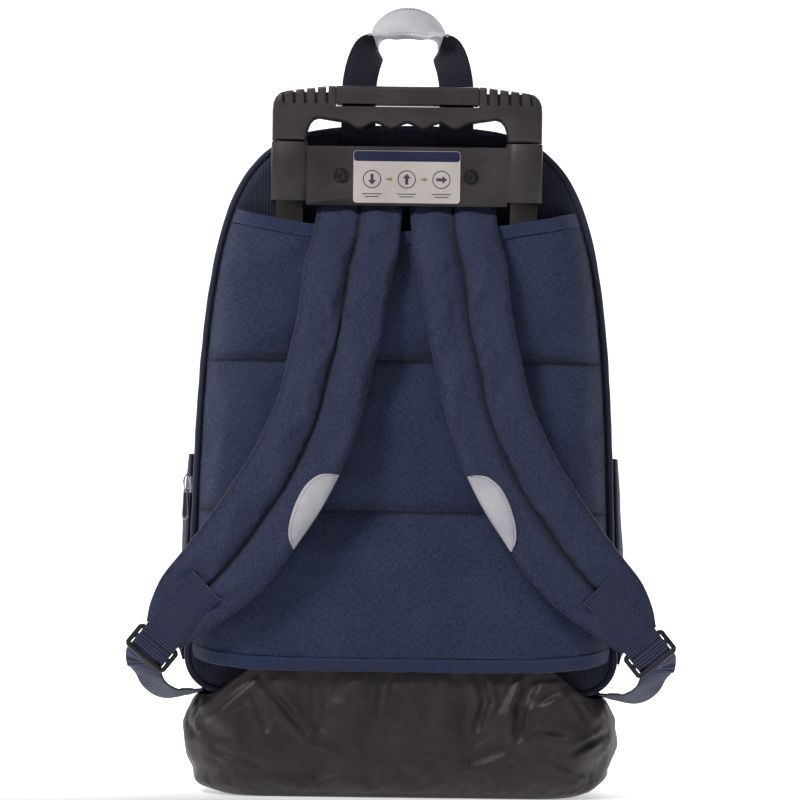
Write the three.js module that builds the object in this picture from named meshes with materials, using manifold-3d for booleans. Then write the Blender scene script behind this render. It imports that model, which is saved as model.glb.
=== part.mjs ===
// Wheeled school backpack, millimetres, +Z up, the wearer's side towards -Y.
// The origin is on the floor under the middle of the base. The trolley grip is pushed down, and the
// wheels are hidden by the cloth cover that keeps them off the wearer's clothes.
import * as THREE from 'three';
import { mergeVertices } from 'three/addons/utils/BufferGeometryUtils.js';
import Module from 'manifold-3d';

const wasm = await Module();
wasm.setup();

// Driving dimensions: the bag's body
const bagWidth = 315;
const bagBottomZ = 73;
const bagHeight = 414;
const bagDepth = 125;
const bagCornerRadius = 28;
const bagBackY = -70;
const clothWall = 1.6;
const gap = 0.3;
const sideSwell = 0.8;
const pipingRadius = 2.3;
const pipingProud = 0.6;

// Main opening, pockets and their zips
const zipWidth = 8;
const zipThickness = 1.8;
const zipBack = 16;
const zipEndGap = 0.6;
const pocketWidth = 238;
const pocketHeight = 214;
const pocketDepth = 38;
const pocketCornerRadius = 30;
const pocketRise = 12;
const sidePocketHeight = 150;
const sidePocketBelly = 5.4;
const sidePocketWall = 1.2;

// Padded back panel, which leaves a sleeve for the rails behind it
const padInset = 6.4;
const padStand = 18;
const padThickness = 10;
const padEdgeThickness = 2.6;
const padTopDrop = 62;
const padTopDip = 17;
const padBottomRise = 20;
const bindingHeight = 9;

// Shoulder straps, their webbing and buckles
const strapReach = 183;
const strapDrop = 329;
const strapTopDrop = 51;
const strapThickness = 13;
const strapStand = 50;
const reflectorThickness = 0.7;
const webbingWidth = 28;
const webbingThickness = 1.6;
const buckleThickness = 3.6;
const buckleBar = 3.4;
const buckleSlot = 4.9;
const adjusterSeamAngle = 60;

// Carry handle
const carryWidth = 25;
const carryThickness = 1.8;
const carrySpread = 71;
const carryRise = 75.5;
const carryLean = 16;
const carrySteps = 40;
const wrapStart = 13;
const wrapMargin = 2;
const wrapWall = 1.2;
const wrapGap = 0.65;

// Trolley
const railSpacing = 169.2;
const railWidth = 20;
const railDepth = 13;
const railWall = 1.2;
const railTopDrop = 17;
const tubeClearance = 0.5;
const tubeFootRise = 19;
const gripInset = 0.5;
const gripDepth = 24.5;
const gripHeight = 39.6;
const gripLegWidth = 24.4;
const gripBevel = 3;
const gripCorner = 9;
const gripRest = 1.1;
const fingerPitch = 23;
const fingerWave = 2.4;
const ribCount = 6;
const ribPitch = 7.8;
const ribWidth = 2;
const ribCut = 2.4;
const buttonWidth = 103;
const buttonHeight = 13;
const buttonTravel = 1.6;
const sleeveWidth = 26.3;
const sleeveHeight = 42.1;
const sleeveFront = 10.5;
const sleeveWall = 2.4;
const plateHeight = 42.5;
const plateThickness = 4;
const screwSpacing = 93.6;
const screwRadius = 4.2;
const screwRecess = 1.7;
const bossWall = 2.4;
const carryFootRise = 1.5;
const labelWidth = 77;
const labelHeight = 37.6;
const labelThickness = 0.6;

// Base frame, wheels and the cloth cover round them
const wheelRadius = 30;
const wheelWidth = 22;
const wheelSpacing = 230;
const wheelY = -50;
const axleRadius = 4;
const axleClearance = 0.4;
const cheekThickness = 4;
const cheekDepth = 30;
const cheekDrop = 12;
const basePlate = 6;
const baseMargin = 20;
const baseFrontInset = 22;
const postTopRadius = 11;
const postFootRadius = 9;
const postInset = 26;
const coverWidth = 311;
const coverFrontY = 57;
const coverCornerRadius = 42;
const coverWall = 1.5;
const coverFlap = 24;
const coverSag = 3;
const coverFoldDepth = 5;

// Zip slider and its pull
const sliderRise = 16;
const sliderHeight = 12;
const sliderWidth = 7.2;
const sliderDepth = 3;
const pullLength = 26;
const pullWidth = 6.4;
const pullNeck = 4.4;
const pullThickness = 1.4;

// Values that follow from those above
const bagTopZ = bagBottomZ + bagHeight;
const halfBag = bagWidth / 2;
const railTopZ = bagTopZ - railTopDrop;
const padTopZ = bagTopZ - padTopDrop;
const padBottomZ = bagBottomZ + padBottomRise;
const strapTopZ = bagTopZ - strapTopDrop;
const carryTopZ = bagTopZ + carryRise;
const coverFlapZ = bagBottomZ + coverFlap;
const bagFrontY = bagBackY + bagDepth;
const pipingY = bagBackY + pipingRadius - pipingProud;
const seatY = bagBackY - pipingProud - gap;
const gussetBackY = pipingY + pipingRadius + gap;
const zipBackY = bagBackY + zipBack;
const zipFrontY = zipBackY + zipWidth;
const railX = railSpacing / 2;
const railBackY = seatY - sleeveWall - gap;
const railY = railBackY - railDepth / 2;
const railFrontY = railBackY - railDepth;
const sleeveFrontY = railFrontY - gap - sleeveFront;
const gripWidth = railSpacing + sleeveWidth - 2 * gripInset;
const tubeWidth = railWidth - 2 * railWall - 2 * tubeClearance;
const tubeDepth = railDepth - 2 * railWall - 2 * tubeClearance;
const sleeveTopZ = railTopZ + gap + sleeveWall;
const gripBottomZ = sleeveTopZ + gripRest;
const gripTopZ = gripBottomZ + gripHeight;
const gripBackY = seatY - carryThickness - 2 * gap;
const gripY = gripBackY - gripDepth / 2;
const plateTopZ = railTopZ;
const plateFrontY = sleeveFrontY + plateThickness;
const plateBackY = plateFrontY + plateThickness;
const plateMiddleZ = plateTopZ - plateHeight / 2;
const bossRadius = screwRadius + bossWall;
const carryFootZ = plateMiddleZ + bossRadius + carryFootRise;
const coverBackY = railFrontY - gap - coverWall;
const baseTopZ = bagBottomZ - gap;
const wheelZ = wheelRadius + coverWall + gap;

const group = new THREE.Group();

const looks = {
  cloth: { color: '#2b3450', roughness: 0.92, metalness: 0 },
  webbing: { color: '#23284a', roughness: 0.88, metalness: 0 },
  binding: { color: '#27406f', roughness: 0.85, metalness: 0 },
  reflector: { color: '#c4c5cc', roughness: 0.6, metalness: 0 },
  nylon: { color: '#3b3236', roughness: 0.8, metalness: 0 },
  moulding: { color: '#4a4244', roughness: 0.55, metalness: 0 },
  rail: { color: '#5b5a60', roughness: 0.35, metalness: 1 },
  buckle: { color: '#1d1e26', roughness: 0.5, metalness: 0 },
  steel: { color: '#b9b9bd', roughness: 0.3, metalness: 1 },
  label: { color: '#d9d2cf', roughness: 0.6, metalness: 0 },
  tyre: { color: '#202022', roughness: 0.8, metalness: 0 },
};

function addPiece(name, geometry, look) {
  const mesh = new THREE.Mesh(geometry, new THREE.MeshStandardMaterial(looks[look]));
  mesh.name = name;
  group.add(mesh);
  return mesh;
}

// A straight line between the rows of a table, read at one value of its first column
function readTable(rows, key, at, column) {
  if (at <= rows[0][key]) return rows[0][column];
  for (let i = 1; i < rows.length; i += 1) {
    const low = rows[i - 1];
    const high = rows[i];
    if (at <= high[key]) {
      const share = (at - low[key]) / (high[key] - low[key]);
      return low[column] + share * (high[column] - low[column]);
    }
  }
  return rows[rows.length - 1][column];
}

function capTriangles(ring) {
  const normal = new THREE.Vector3();
  const centre = new THREE.Vector3();
  ring.forEach((point, i) => {
    const next = ring[(i + 1) % ring.length];
    normal.add(new THREE.Vector3().crossVectors(point, next));
    centre.add(point);
  });
  centre.divideScalar(ring.length);
  normal.normalize();
  const across = new THREE.Vector3().subVectors(ring[0], centre);
  across.addScaledVector(normal, -across.dot(normal)).normalize();
  const up = new THREE.Vector3().crossVectors(normal, across);
  const flat = ring.map((point) => new THREE.Vector2(point.dot(across), point.dot(up)));
  return THREE.ShapeUtils.triangulateShape(flat, []);
}

// The end of a sheet, whose ring runs along one face and back along the other
function sheetCap(ring) {
  const triangles = [];
  for (let i = 0; i < ring.length / 2 - 1; i += 1) {
    const other = ring.length - 1 - i;
    triangles.push([i, i + 1, other - 1], [i, other - 1, other]);
  }
  return triangles;
}

function sheetLoft(rings) {
  return loft(rings, false, sheetCap);
}

// A closed solid through rings with the same number of points. A looped one joins its last ring
// to its first, and any other is closed by a face at each end.
function loft(rings, looped = false, cap = capTriangles) {
  const size = rings[0].length;
  const positions = rings.flat().flatMap((point) => [point.x, point.y, point.z]);
  const index = [];
  const spans = looped ? rings.length : rings.length - 1;
  for (let r = 0; r < spans; r += 1) {
    const from = r * size;
    const to = ((r + 1) % rings.length) * size;
    for (let i = 0; i < size; i += 1) {
      const j = (i + 1) % size;
      index.push(from + i, from + j, to + j, from + i, to + j, to + i);
    }
  }
  if (!looped) {
    const last = (rings.length - 1) * size;
    cap(rings[0]).forEach(([a, b, c]) => index.push(a, c, b));
    cap(rings[rings.length - 1]).forEach(([a, b, c]) => index.push(last + a, last + b, last + c));
  }
  const geometry = new THREE.BufferGeometry();
  geometry.setAttribute('position', new THREE.Float32BufferAttribute(positions, 3));
  geometry.setIndex(index);
  return facingOut(geometry);
}

function signedVolume(geometry) {
  const position = geometry.attributes.position;
  const a = new THREE.Vector3();
  const b = new THREE.Vector3();
  const c = new THREE.Vector3();
  let volume = 0;
  for (let i = 0; i < geometry.index.count; i += 3) {
    a.fromBufferAttribute(position, geometry.index.getX(i));
    b.fromBufferAttribute(position, geometry.index.getX(i + 1));
    c.fromBufferAttribute(position, geometry.index.getX(i + 2));
    volume += a.dot(b.cross(c));
  }
  return volume;
}

function facingOut(geometry) {
  if (signedVolume(geometry) > 0) return geometry;
  const index = geometry.index.array;
  for (let i = 0; i < index.length; i += 3) {
    [index[i + 1], index[i + 2]] = [index[i + 2], index[i + 1]];
  }
  return geometry;
}

function toSolid(geometry) {
  const bare = geometry.index ? geometry.clone() : geometry;
  bare.deleteAttribute('normal');
  bare.deleteAttribute('uv');
  const merged = mergeVertices(bare, 1e-4);
  const vertProperties = new Float32Array(merged.attributes.position.array);
  const triVerts = new Uint32Array(merged.index.array);
  return new wasm.Manifold(new wasm.Mesh({ numProp: 3, vertProperties, triVerts }));
}

function toGeometry(solid) {
  const result = solid.getMesh();
  const geometry = new THREE.BufferGeometry();
  geometry.setAttribute('position', new THREE.Float32BufferAttribute(result.vertProperties, 3));
  geometry.setIndex(Array.from(result.triVerts));
  return geometry;
}

function box(low, high) {
  const geometry = new THREE.BoxGeometry(high[0] - low[0], high[1] - low[1], high[2] - low[2]);
  geometry.translate((low[0] + high[0]) / 2, (low[1] + high[1]) / 2, (low[2] + high[2]) / 2);
  return geometry;
}

// A cylinder along Y or X between two places
function rod(axis, radius, from, to, across, up, sides = 16) {
  const geometry = new THREE.CylinderGeometry(radius, radius, to - from, sides);
  if (axis === 'x') {
    geometry.rotateZ(Math.PI / 2);
    geometry.translate((from + to) / 2, across, up);
  } else {
    geometry.translate(across, (from + to) / 2, up);
  }
  return geometry;
}

function mirrored(points) {
  return points.map((point) => new THREE.Vector3(-point.x, point.y, point.z));
}

// The bag's back edge as seen from behind, in shares of half its width and of its height
const outlineTurns = [
  { name: 'hip', across: 1.0, up: 0.068 },
  { name: 'side', across: 0.973, up: 0.326 },
  { name: 'shoulder', across: 0.929, up: 0.988 },
  { name: 'crown', across: 0.738, up: 0.9975 },
];

function bagTurn(name) {
  const row = outlineTurns.find((turn) => turn.name === name);
  return new THREE.Vector2(row.across * halfBag, bagBottomZ + row.up * bagHeight);
}

// Half of the outline, from the middle of the bottom round the right side to the middle of the top
function bagCurves() {
  const hip = bagTurn('hip');
  hip.y = bagBottomZ + bagCornerRadius;
  const floorEnd = new THREE.Vector2(halfBag - bagCornerRadius, bagBottomZ);
  const middle = new THREE.Vector2(0, bagBottomZ);
  const top = new THREE.Vector2(0, bagTopZ);
  const corner = new THREE.EllipseCurve(
    floorEnd.x, hip.y, bagCornerRadius, bagCornerRadius, -Math.PI / 2, 0, false, 0);
  const side = bagTurn('side');
  const belowZip = side.clone().lerp(hip, zipEndGap / (side.y - hip.y));
  return [
    { curve: new THREE.LineCurve(middle, floorEnd), steps: 3 },
    { curve: corner, steps: 4 },
    { curve: new THREE.LineCurve(hip, belowZip), steps: 3 },
    { curve: new THREE.LineCurve(belowZip, side), steps: 1 },
    {
      curve: new THREE.CubicBezierCurve(side, bagTurn('shoulder'), bagTurn('crown'), top),
      steps: 11,
    },
  ];
}

// Grow moves the outline outwards all round, and swell moves only its sides
function halfOutline(curves, grow, swell = 0) {
  const points = [];
  curves.forEach(({ curve, steps }, c) => {
    for (let i = c === 0 ? 0 : 1; i <= steps; i += 1) {
      const at = curve.getPoint(i / steps);
      const along = curve.getTangent(i / steps);
      points.push({ x: at.x + along.y * (grow + swell), z: at.y - along.x * grow });
    }
  });
  points[0].x = 0;
  points[points.length - 1].x = 0;
  return points;
}

// A whole outline as a ring: place gives each point its depth, and shrink draws it to its middle
function outlineRing(curves, grow, swell, place, shrink = 1, middleZ = 0) {
  const half = halfOutline(curves, grow, swell);
  const other = half.slice(1, -1).reverse().map((point) => ({ x: -point.x, z: point.z }));
  return [...half, ...other].map((point, i) => {
    const z = middleZ + (point.z - middleZ) * shrink;
    return new THREE.Vector3(point.x * shrink, place(z, i), z);
  });
}

const bodyCurves = bagCurves();
const bodyHalf = halfOutline(bodyCurves, 0);

// Half the width of the bag's back edge at one height
function halfWidthAt(z) {
  const side = bodyHalf.filter((point, i) => i === 0 || point.z > bodyHalf[i - 1].z);
  return readTable(side, 'z', z, 'x');
}

// How deep the bag is at each height, as a share of its depth: it thins towards the top
const depthRows = [
  { up: 0, depth: 1 },
  { up: 0.58, depth: 1 },
  { up: 0.8, depth: 0.88 },
  { up: 0.93, depth: 0.72 },
  { up: 1, depth: 0.58 },
];

function frontAt(z) {
  return bagBackY + bagDepth * readTable(depthRows, 'up', (z - bagBottomZ) / bagHeight, 'depth');
}

// The side wall's swell from back to front, as a share of its greatest swell
const sideRows = [
  { along: 0, swell: -0.1 },
  { along: 0.36, swell: 1 },
  { along: 0.7, swell: 0.8 },
  { along: 0.965, swell: -0.6 },
];

function sideRing(row, inset) {
  const place = (z) => zipFrontY + gap + (frontAt(z) - zipFrontY - gap) * row.along;
  return outlineRing(bodyCurves, -inset, row.swell * sideSwell, place);
}

// The zip runs over the top from one side to the other, and the front shell meets the back strip below it
function inZip(index) {
  const zipHalf = bodyHalf.filter((point) => point.z > bagTurn('side').y - zipEndGap / 2).length;
  return Math.abs(index - (bodyHalf.length - 1)) < zipHalf;
}

function addBody() {
  const flat = (y) => () => y;
  const wallGrow = -2 * pipingRadius - 2 * gap;
  addPiece('back_wall', loft([
    outlineRing(bodyCurves, wallGrow, 0, flat(bagBackY)),
    outlineRing(bodyCurves, wallGrow, 0, flat(bagBackY + clothWall)),
  ]), 'cloth');

  const stripRows = [
    { y: gussetBackY, swell: -0.35 },
    { y: zipBackY - gap, swell: -0.1 },
  ];
  const stripRing = (row, inset) => outlineRing(bodyCurves, -inset, row.swell * sideSwell, flat(row.y));
  addPiece('rear_gusset', loft([
    stripRing(stripRows[0], 0), stripRing(stripRows[1], 0),
    stripRing(stripRows[1], clothWall), stripRing(stripRows[0], clothWall),
  ], true), 'cloth');

  const middleZ = bagBottomZ + bagHeight / 2;
  const edgePlace = (z, i) => (inZip(i) ? zipFrontY + gap : zipBackY);
  const edgeSwell = sideRows[0].swell * sideSwell;
  const edgeRing = (inset) => outlineRing(bodyCurves, -inset, edgeSwell, edgePlace);
  const panelRing = (inset, shrink) => outlineRing(
    bodyCurves, -2 * pipingRadius - inset, 0, (z) => frontAt(z) - inset, shrink, middleZ);
  const shellSide = (inset) => [
    edgeRing(inset),
    ...sideRows.slice(1).map((row) => sideRing(row, inset)),
    panelRing(inset, 1),
    panelRing(inset, 0.55),
  ];
  addPiece('front_shell', loft([...shellSide(0).reverse(), ...shellSide(clothWall)]), 'cloth');

  const zipRing = (y, inset) => outlineRing(bodyCurves, -inset, edgeSwell, flat(y));
  const zipSection = [zipRing(zipBackY, 0), zipRing(zipFrontY, 0),
    zipRing(zipFrontY, zipThickness), zipRing(zipBackY, zipThickness)];
  const zipStations = zipSection[0].map((_point, i) => i).filter((i) => inZip(i));
  addPiece('main_zip', loft(zipStations.map((i) => zipSection.map((ring) => ring[i]))), 'webbing');
}

// A round cord sewn along an outline
function pipingLoop(curves, grow, place, radius) {
  const rings = [];
  const sides = 6;
  for (let s = 0; s < sides; s += 1) {
    const turn = (s / sides) * 2 * Math.PI;
    const offset = radius * Math.sin(turn);
    rings.push(outlineRing(curves, grow + radius * Math.cos(turn), 0, (z) => place(z) + offset));
  }
  return loft(rings, true);
}

function addPiping() {
  addPiece('rear_piping', pipingLoop(bodyCurves, -pipingRadius, () => pipingY, pipingRadius), 'webbing');
  const frontRadius = pipingRadius * 0.8;
  const frontGrow = sideRows[3].swell * sideSwell - frontRadius;
  addPiece('front_piping', pipingLoop(
    bodyCurves, frontGrow, (z) => frontAt(z) + frontRadius, frontRadius), 'webbing');
}

// The front pocket's outline, with a crowned top
function pocketCurves() {
  const half = pocketWidth / 2;
  const low = bagBottomZ + 12;
  const high = low + pocketHeight;
  const shoulderZ = high - pocketRise - pocketCornerRadius;
  const zipEndZ = high - pocketHeight * 0.42;
  const corner = (z, from, to) => new THREE.EllipseCurve(
    half - pocketCornerRadius, z, pocketCornerRadius, pocketCornerRadius, from, to, false, 0);
  const topStart = new THREE.Vector2(half - pocketCornerRadius, shoulderZ + pocketCornerRadius);
  const sideLine = (from, to) => new THREE.LineCurve(
    new THREE.Vector2(half, from), new THREE.Vector2(half, to));
  return [
    {
      curve: new THREE.LineCurve(new THREE.Vector2(0, low), new THREE.Vector2(half - pocketCornerRadius, low)),
      steps: 2,
    },
    { curve: corner(low + pocketCornerRadius, -Math.PI / 2, 0), steps: 3 },
    { curve: sideLine(low + pocketCornerRadius, zipEndZ - zipEndGap), steps: 2 },
    { curve: sideLine(zipEndZ - zipEndGap, zipEndZ), steps: 1 },
    { curve: sideLine(zipEndZ, shoulderZ), steps: 1 },
    { curve: corner(shoulderZ, 0, Math.PI / 2), steps: 3 },
    {
      curve: new THREE.QuadraticBezierCurve(
        topStart, new THREE.Vector2(half * 0.4, high), new THREE.Vector2(0, high)),
      steps: 3,
    },
  ];
}

function addFrontPocket() {
  const curves = pocketCurves();
  const half = halfOutline(curves, 0);
  const mouthY = bagFrontY + gap;
  const zipLowZ = half[half.length - 1].z - pocketHeight * 0.42 - zipEndGap / 2;
  const zipHalf = half.filter((point) => point.z > zipLowZ).length;
  const inPocketZip = (i) => Math.abs(i - (half.length - 1)) < zipHalf;
  const zipY = mouthY + zipWidth;
  const edge = (inset) => outlineRing(
    curves, -inset, 0, (z, i) => (inPocketZip(i) ? zipY + gap : mouthY));
  const middleZ = half[0].z + pocketHeight / 2;
  const at = (share, grow, inset, shrink = 1) => outlineRing(
    curves, grow - inset, 0, () => mouthY + pocketDepth * share - inset, shrink, middleZ);
  const side = (inset) => [
    edge(inset),
    at(0.55, 1.5, inset),
    at(0.86, 0, inset),
    at(1, -9, inset),
    at(1.06, -9, inset, 0.5),
  ];
  addPiece('front_pocket', loft([...side(0).reverse(), ...side(clothWall)]), 'cloth');
  const ring = (y, inset) => outlineRing(curves, -inset, 0, () => y);
  const section = [ring(mouthY, 0), ring(zipY, 0), ring(zipY, zipThickness), ring(mouthY, zipThickness)];
  const stations = section[0].map((_point, i) => i).filter((i) => inPocketZip(i));
  addPiece('pocket_zip', loft(stations.map((i) => section.map((line) => line[i]))), 'webbing');
}

// Side pocket: a sheet sewn on at its two sides and its bottom, and open at its top
const sidePocketRows = [
  { up: 0, belly: 0 },
  { up: 0.04, belly: 0.6 },
  { up: 0.16, belly: 1 },
  { up: 0.4, belly: 1 },
  { up: 0.7, belly: 0.95 },
  { up: 0.93, belly: 0.72 },
  { up: 1, belly: 0.66 },
];

function addSidePocket(name, side) {
  const lowZ = bagBottomZ + bagCornerRadius * 0.8;
  const backY = zipFrontY + 8;
  const frontY = bagFrontY - 12;
  const along = [0, 0.08, 0.25, 0.5, 0.75, 0.92, 1];
  const rings = sidePocketRows.map((row) => {
    const z = lowZ + row.up * sidePocketHeight;
    const sheet = (lift) => along.map((share) => {
      const y = backY + share * (frontY - backY);
      const seat = halfWidthAt(z) + sideSwell + gap;
      const belly = sidePocketBelly * row.belly * Math.sqrt(Math.sin(Math.PI * share));
      return new THREE.Vector3(side * (seat + belly + lift), y, z);
    });
    return [...sheet(sidePocketWall), ...sheet(0).reverse()];
  });
  addPiece(name, sheetLoft(rings), 'cloth');
}

// The back panel's section at one height: it lies flat on the back wall at its two edges and
// stands off between them. Across is from -1 to 1, and wall is 0 inside and 1 outside.
const padAcross = [-1, -0.97, -0.92, -0.83, -0.5, -0.25, 0, 0.25, 0.5, 0.83, 0.92, 0.97, 1];
const padRows = [
  { up: 0, stand: 1.14, puff: 0.45 },
  { up: 0.05, stand: 1.1, puff: 0.9 },
  { up: 0.18, stand: 1.04, puff: 1.1 },
  { up: 0.3, stand: 1, puff: 1.1 },
  { up: 0.345, stand: 1, puff: 0.68 },
  { up: 0.39, stand: 1, puff: 1.1 },
  { up: 0.52, stand: 1, puff: 1.18 },
  { up: 0.64, stand: 1, puff: 1.1 },
  { up: 0.683, stand: 1, puff: 0.68 },
  { up: 0.726, stand: 1, puff: 1.1 },
  { up: 0.85, stand: 1, puff: 1.1 },
  { up: 0.94, stand: 1, puff: 0.7 },
  { up: 1, stand: 1, puff: 0.3 },
];

function padTopAt(x) {
  const share = Math.min(Math.abs(x) / (halfBag * 0.83), 1);
  return padTopZ - padTopDip * (1 - share ** 2);
}

function padBottomAt(x) {
  const share = Math.abs(x) / halfBag;
  return padBottomZ + 10 * share ** 6;
}

function padPoint(across, up, wall) {
  const guessZ = padBottomZ + up * (padTopZ - padBottomZ);
  const x = across * (halfWidthAt(guessZ) - padInset);
  const z = padBottomAt(x) + up * (padTopAt(x) - padBottomAt(x));
  const crown = 1 - Math.abs(across) ** 14;
  const puff = readTable(padRows, 'up', up, 'puff');
  const thickness = padEdgeThickness + (padThickness - padEdgeThickness) * crown * puff;
  const stand = (padStand - gap) * crown * readTable(padRows, 'up', up, 'stand');
  const y = bagBackY - gap - stand - wall * thickness;
  return new THREE.Vector3(x, y, z);
}

function padRing(up) {
  const outside = padAcross.map((across) => padPoint(across, up, 1));
  const inside = padAcross.map((across) => padPoint(across, up, 0)).reverse();
  return [...outside, ...inside];
}

function addPad() {
  const rise = padTopZ - padBottomZ;
  const band = bindingHeight / rise;
  const space = gap / (rise - padTopDip);
  const middle = padRows.map((row) => row.up).filter((up) => up > band && up < 1 - band);
  const body = [band + space, ...middle, 1 - band - space];
  addPiece('back_pad', sheetLoft(body.map(padRing)), 'cloth');
  addPiece('pad_bottom_binding', sheetLoft([0, band].map(padRing)), 'binding');
  addPiece('pad_top_binding', sheetLoft([1 - band, 1].map(padRing)), 'binding');
}

// Each strap's edges as seen from behind, from the top down: across in shares of its reach, down in
// shares of its drop, and how far it stands off the back wall as a share of its greatest stand
const strapRows = [
  { inAcross: 0.012, inDown: 0.004, outAcross: 0.348, outDown: 0.0, stand: 0.172, thick: 1.2 },
  { inAcross: 0.014, inDown: 0.027, outAcross: 0.352, outDown: 0.025, stand: 0.2, thick: 0.9 },
  { inAcross: 0.019, inDown: 0.072, outAcross: 0.36, outDown: 0.066, stand: 0.53, thick: 0.72 },
  { inAcross: 0.026, inDown: 0.118, outAcross: 0.371, outDown: 0.1, stand: 0.7, thick: 0.9 },
  { inAcross: 0.052, inDown: 0.195, outAcross: 0.398, outDown: 0.155, stand: 0.79, thick: 1 },
  { inAcross: 0.087, inDown: 0.304, outAcross: 0.418, outDown: 0.255, stand: 0.86, thick: 1 },
  { inAcross: 0.131, inDown: 0.41, outAcross: 0.456, outDown: 0.356, stand: 0.93, thick: 1 },
  { inAcross: 0.18, inDown: 0.517, outAcross: 0.492, outDown: 0.444, stand: 0.98, thick: 1 },
  { inAcross: 0.24, inDown: 0.609, outAcross: 0.555, outDown: 0.526, stand: 1, thick: 1 },
  { inAcross: 0.317, inDown: 0.693, outAcross: 0.612, outDown: 0.587, stand: 1, thick: 1 },
  { inAcross: 0.404, inDown: 0.766, outAcross: 0.694, outDown: 0.657, stand: 0.98, thick: 1 },
  { inAcross: 0.497, inDown: 0.839, outAcross: 0.779, outDown: 0.726, stand: 0.93, thick: 1 },
  { inAcross: 0.601, inDown: 0.898, outAcross: 0.863, outDown: 0.787, stand: 0.86, thick: 0.95 },
  { inAcross: 0.716, inDown: 0.945, outAcross: 0.94, outDown: 0.842, stand: 0.78, thick: 0.8 },
  { inAcross: 0.803, inDown: 0.979, outAcross: 0.984, outDown: 0.897, stand: 0.71, thick: 0.55 },
  { inAcross: 0.869, inDown: 1.0, outAcross: 1.0, outDown: 0.939, stand: 0.66, thick: 0.3 },
];

// The strap's own section, thin at its bound edges and drawn in along the middle stitch
const strapFront = [
  { across: 0, lift: 0.14 },
  { across: 0.09, lift: 0.4 },
  { across: 0.3, lift: 0.5 },
  { across: 0.5, lift: 0.42 },
  { across: 0.7, lift: 0.5 },
  { across: 0.91, lift: 0.4 },
  { across: 1, lift: 0.14 },
];
const strapBack = [
  { across: 1, lift: -0.14 },
  { across: 0.91, lift: -0.4 },
  { across: 0.5, lift: -0.5 },
  { across: 0.09, lift: -0.4 },
  { across: 0, lift: -0.14 },
];

function strapEdges(row) {
  const y = bagBackY - row.stand * strapStand;
  const place = (across, down) => new THREE.Vector3(across * strapReach, y, strapTopZ - down * strapDrop);
  return { inner: place(row.inAcross, row.inDown), outer: place(row.outAcross, row.outDown) };
}

// A place on the strap: down from 0 to 1 along its rows, across from its inner to its outer edge
function strapPlace(down, across, lift) {
  const at = Math.min(down * (strapRows.length - 1), strapRows.length - 1.001);
  const low = Math.floor(at);
  const [above, below] = [strapEdges(strapRows[low]), strapEdges(strapRows[low + 1])];
  const inner = above.inner.lerp(below.inner, at - low);
  const outer = above.outer.lerp(below.outer, at - low);
  const point = inner.lerp(outer, across);
  const rows = strapRows.map((row, i) => ({ at: i, thick: row.thick }));
  point.y -= lift * strapThickness * readTable(rows, 'at', at, 'thick');
  return point;
}

function strapRings() {
  const steps = strapRows.length - 1;
  const section = [...strapFront, ...strapBack];
  return strapRows.map((_row, i) => section.map((row) => strapPlace(i / steps, row.across, row.lift)));
}

function sided(points, side) {
  return side > 0 ? points : mirrored(points);
}

// A flat band along a path: every row has its middle and the direction of its width
function bandRings(rows, width, thickness) {
  return rows.map((row, i) => {
    const before = rows[Math.max(i - 1, 0)].at;
    const after = rows[Math.min(i + 1, rows.length - 1)].at;
    const along = new THREE.Vector3().subVectors(after, before).normalize();
    const across = row.across.clone().normalize();
    across.addScaledVector(along, -across.dot(along)).normalize();
    const normal = new THREE.Vector3().crossVectors(along, across);
    const corner = (u, v) => row.at.clone()
      .addScaledVector(across, u * width / 2)
      .addScaledVector(normal, v * thickness / 2);
    return [corner(-1, -1), corner(1, -1), corner(1, 1), corner(-1, 1)];
  });
}

// The strap's lower end: the bar direction of the buckle, and the way that the webbing leaves it
const buckleTurn = THREE.MathUtils.degToRad(39);
const barWay = new THREE.Vector3(Math.cos(buckleTurn), 0, Math.sin(buckleTurn));
const pullWay = new THREE.Vector3(Math.sin(buckleTurn), 0, -Math.cos(buckleTurn));
const frontWay = new THREE.Vector3(0, -1, 0);

function buckleOrigin() {
  const end = strapEdges(strapRows[strapRows.length - 1]);
  const middle = end.inner.clone().lerp(end.outer, 0.5);
  return middle.addScaledVector(pullWay, 2.4);
}

// A place by the buckle: pull along the webbing, front towards the wearer, measured from its first bar
function atBuckle(pull, front) {
  return buckleOrigin().addScaledVector(pullWay, pull).addScaledVector(frontWay, front);
}

function addBuckle(name, side) {
  const halfWide = webbingWidth / 2 + buckleBar + gap * 2;
  const length = 3 * buckleBar + 2 * buckleSlot;
  const shape = new THREE.Shape();
  const chamfer = buckleBar * 0.7;
  shape.moveTo(-halfWide + chamfer, 0);
  shape.lineTo(halfWide - chamfer, 0);
  shape.lineTo(halfWide, chamfer);
  shape.lineTo(halfWide, length - chamfer);
  shape.lineTo(halfWide - chamfer, length);
  shape.lineTo(-halfWide + chamfer, length);
  shape.lineTo(-halfWide, length - chamfer);
  shape.lineTo(-halfWide, chamfer);
  shape.closePath();
  [0, 1].forEach((k) => {
    const from = buckleBar + k * (buckleBar + buckleSlot);
    const hole = new THREE.Path();
    const halfHole = webbingWidth / 2 + gap * 2;
    hole.moveTo(-halfHole, from);
    hole.lineTo(-halfHole, from + buckleSlot);
    hole.lineTo(halfHole, from + buckleSlot);
    hole.lineTo(halfHole, from);
    hole.closePath();
    shape.holes.push(hole);
  });
  const geometry = new THREE.ExtrudeGeometry(shape, { depth: buckleThickness, bevelEnabled: false });
  geometry.translate(0, 0, -buckleThickness / 2);
  const place = new THREE.Matrix4().makeBasis(barWay, pullWay, frontWay);
  place.setPosition(buckleOrigin());
  geometry.applyMatrix4(place);
  const solid = toSolid(geometry);
  const finished = toGeometry(side > 0 ? solid : solid.mirror([1, 0, 0]));
  addPiece(name, facingOut(finished), 'buckle');
}

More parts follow.
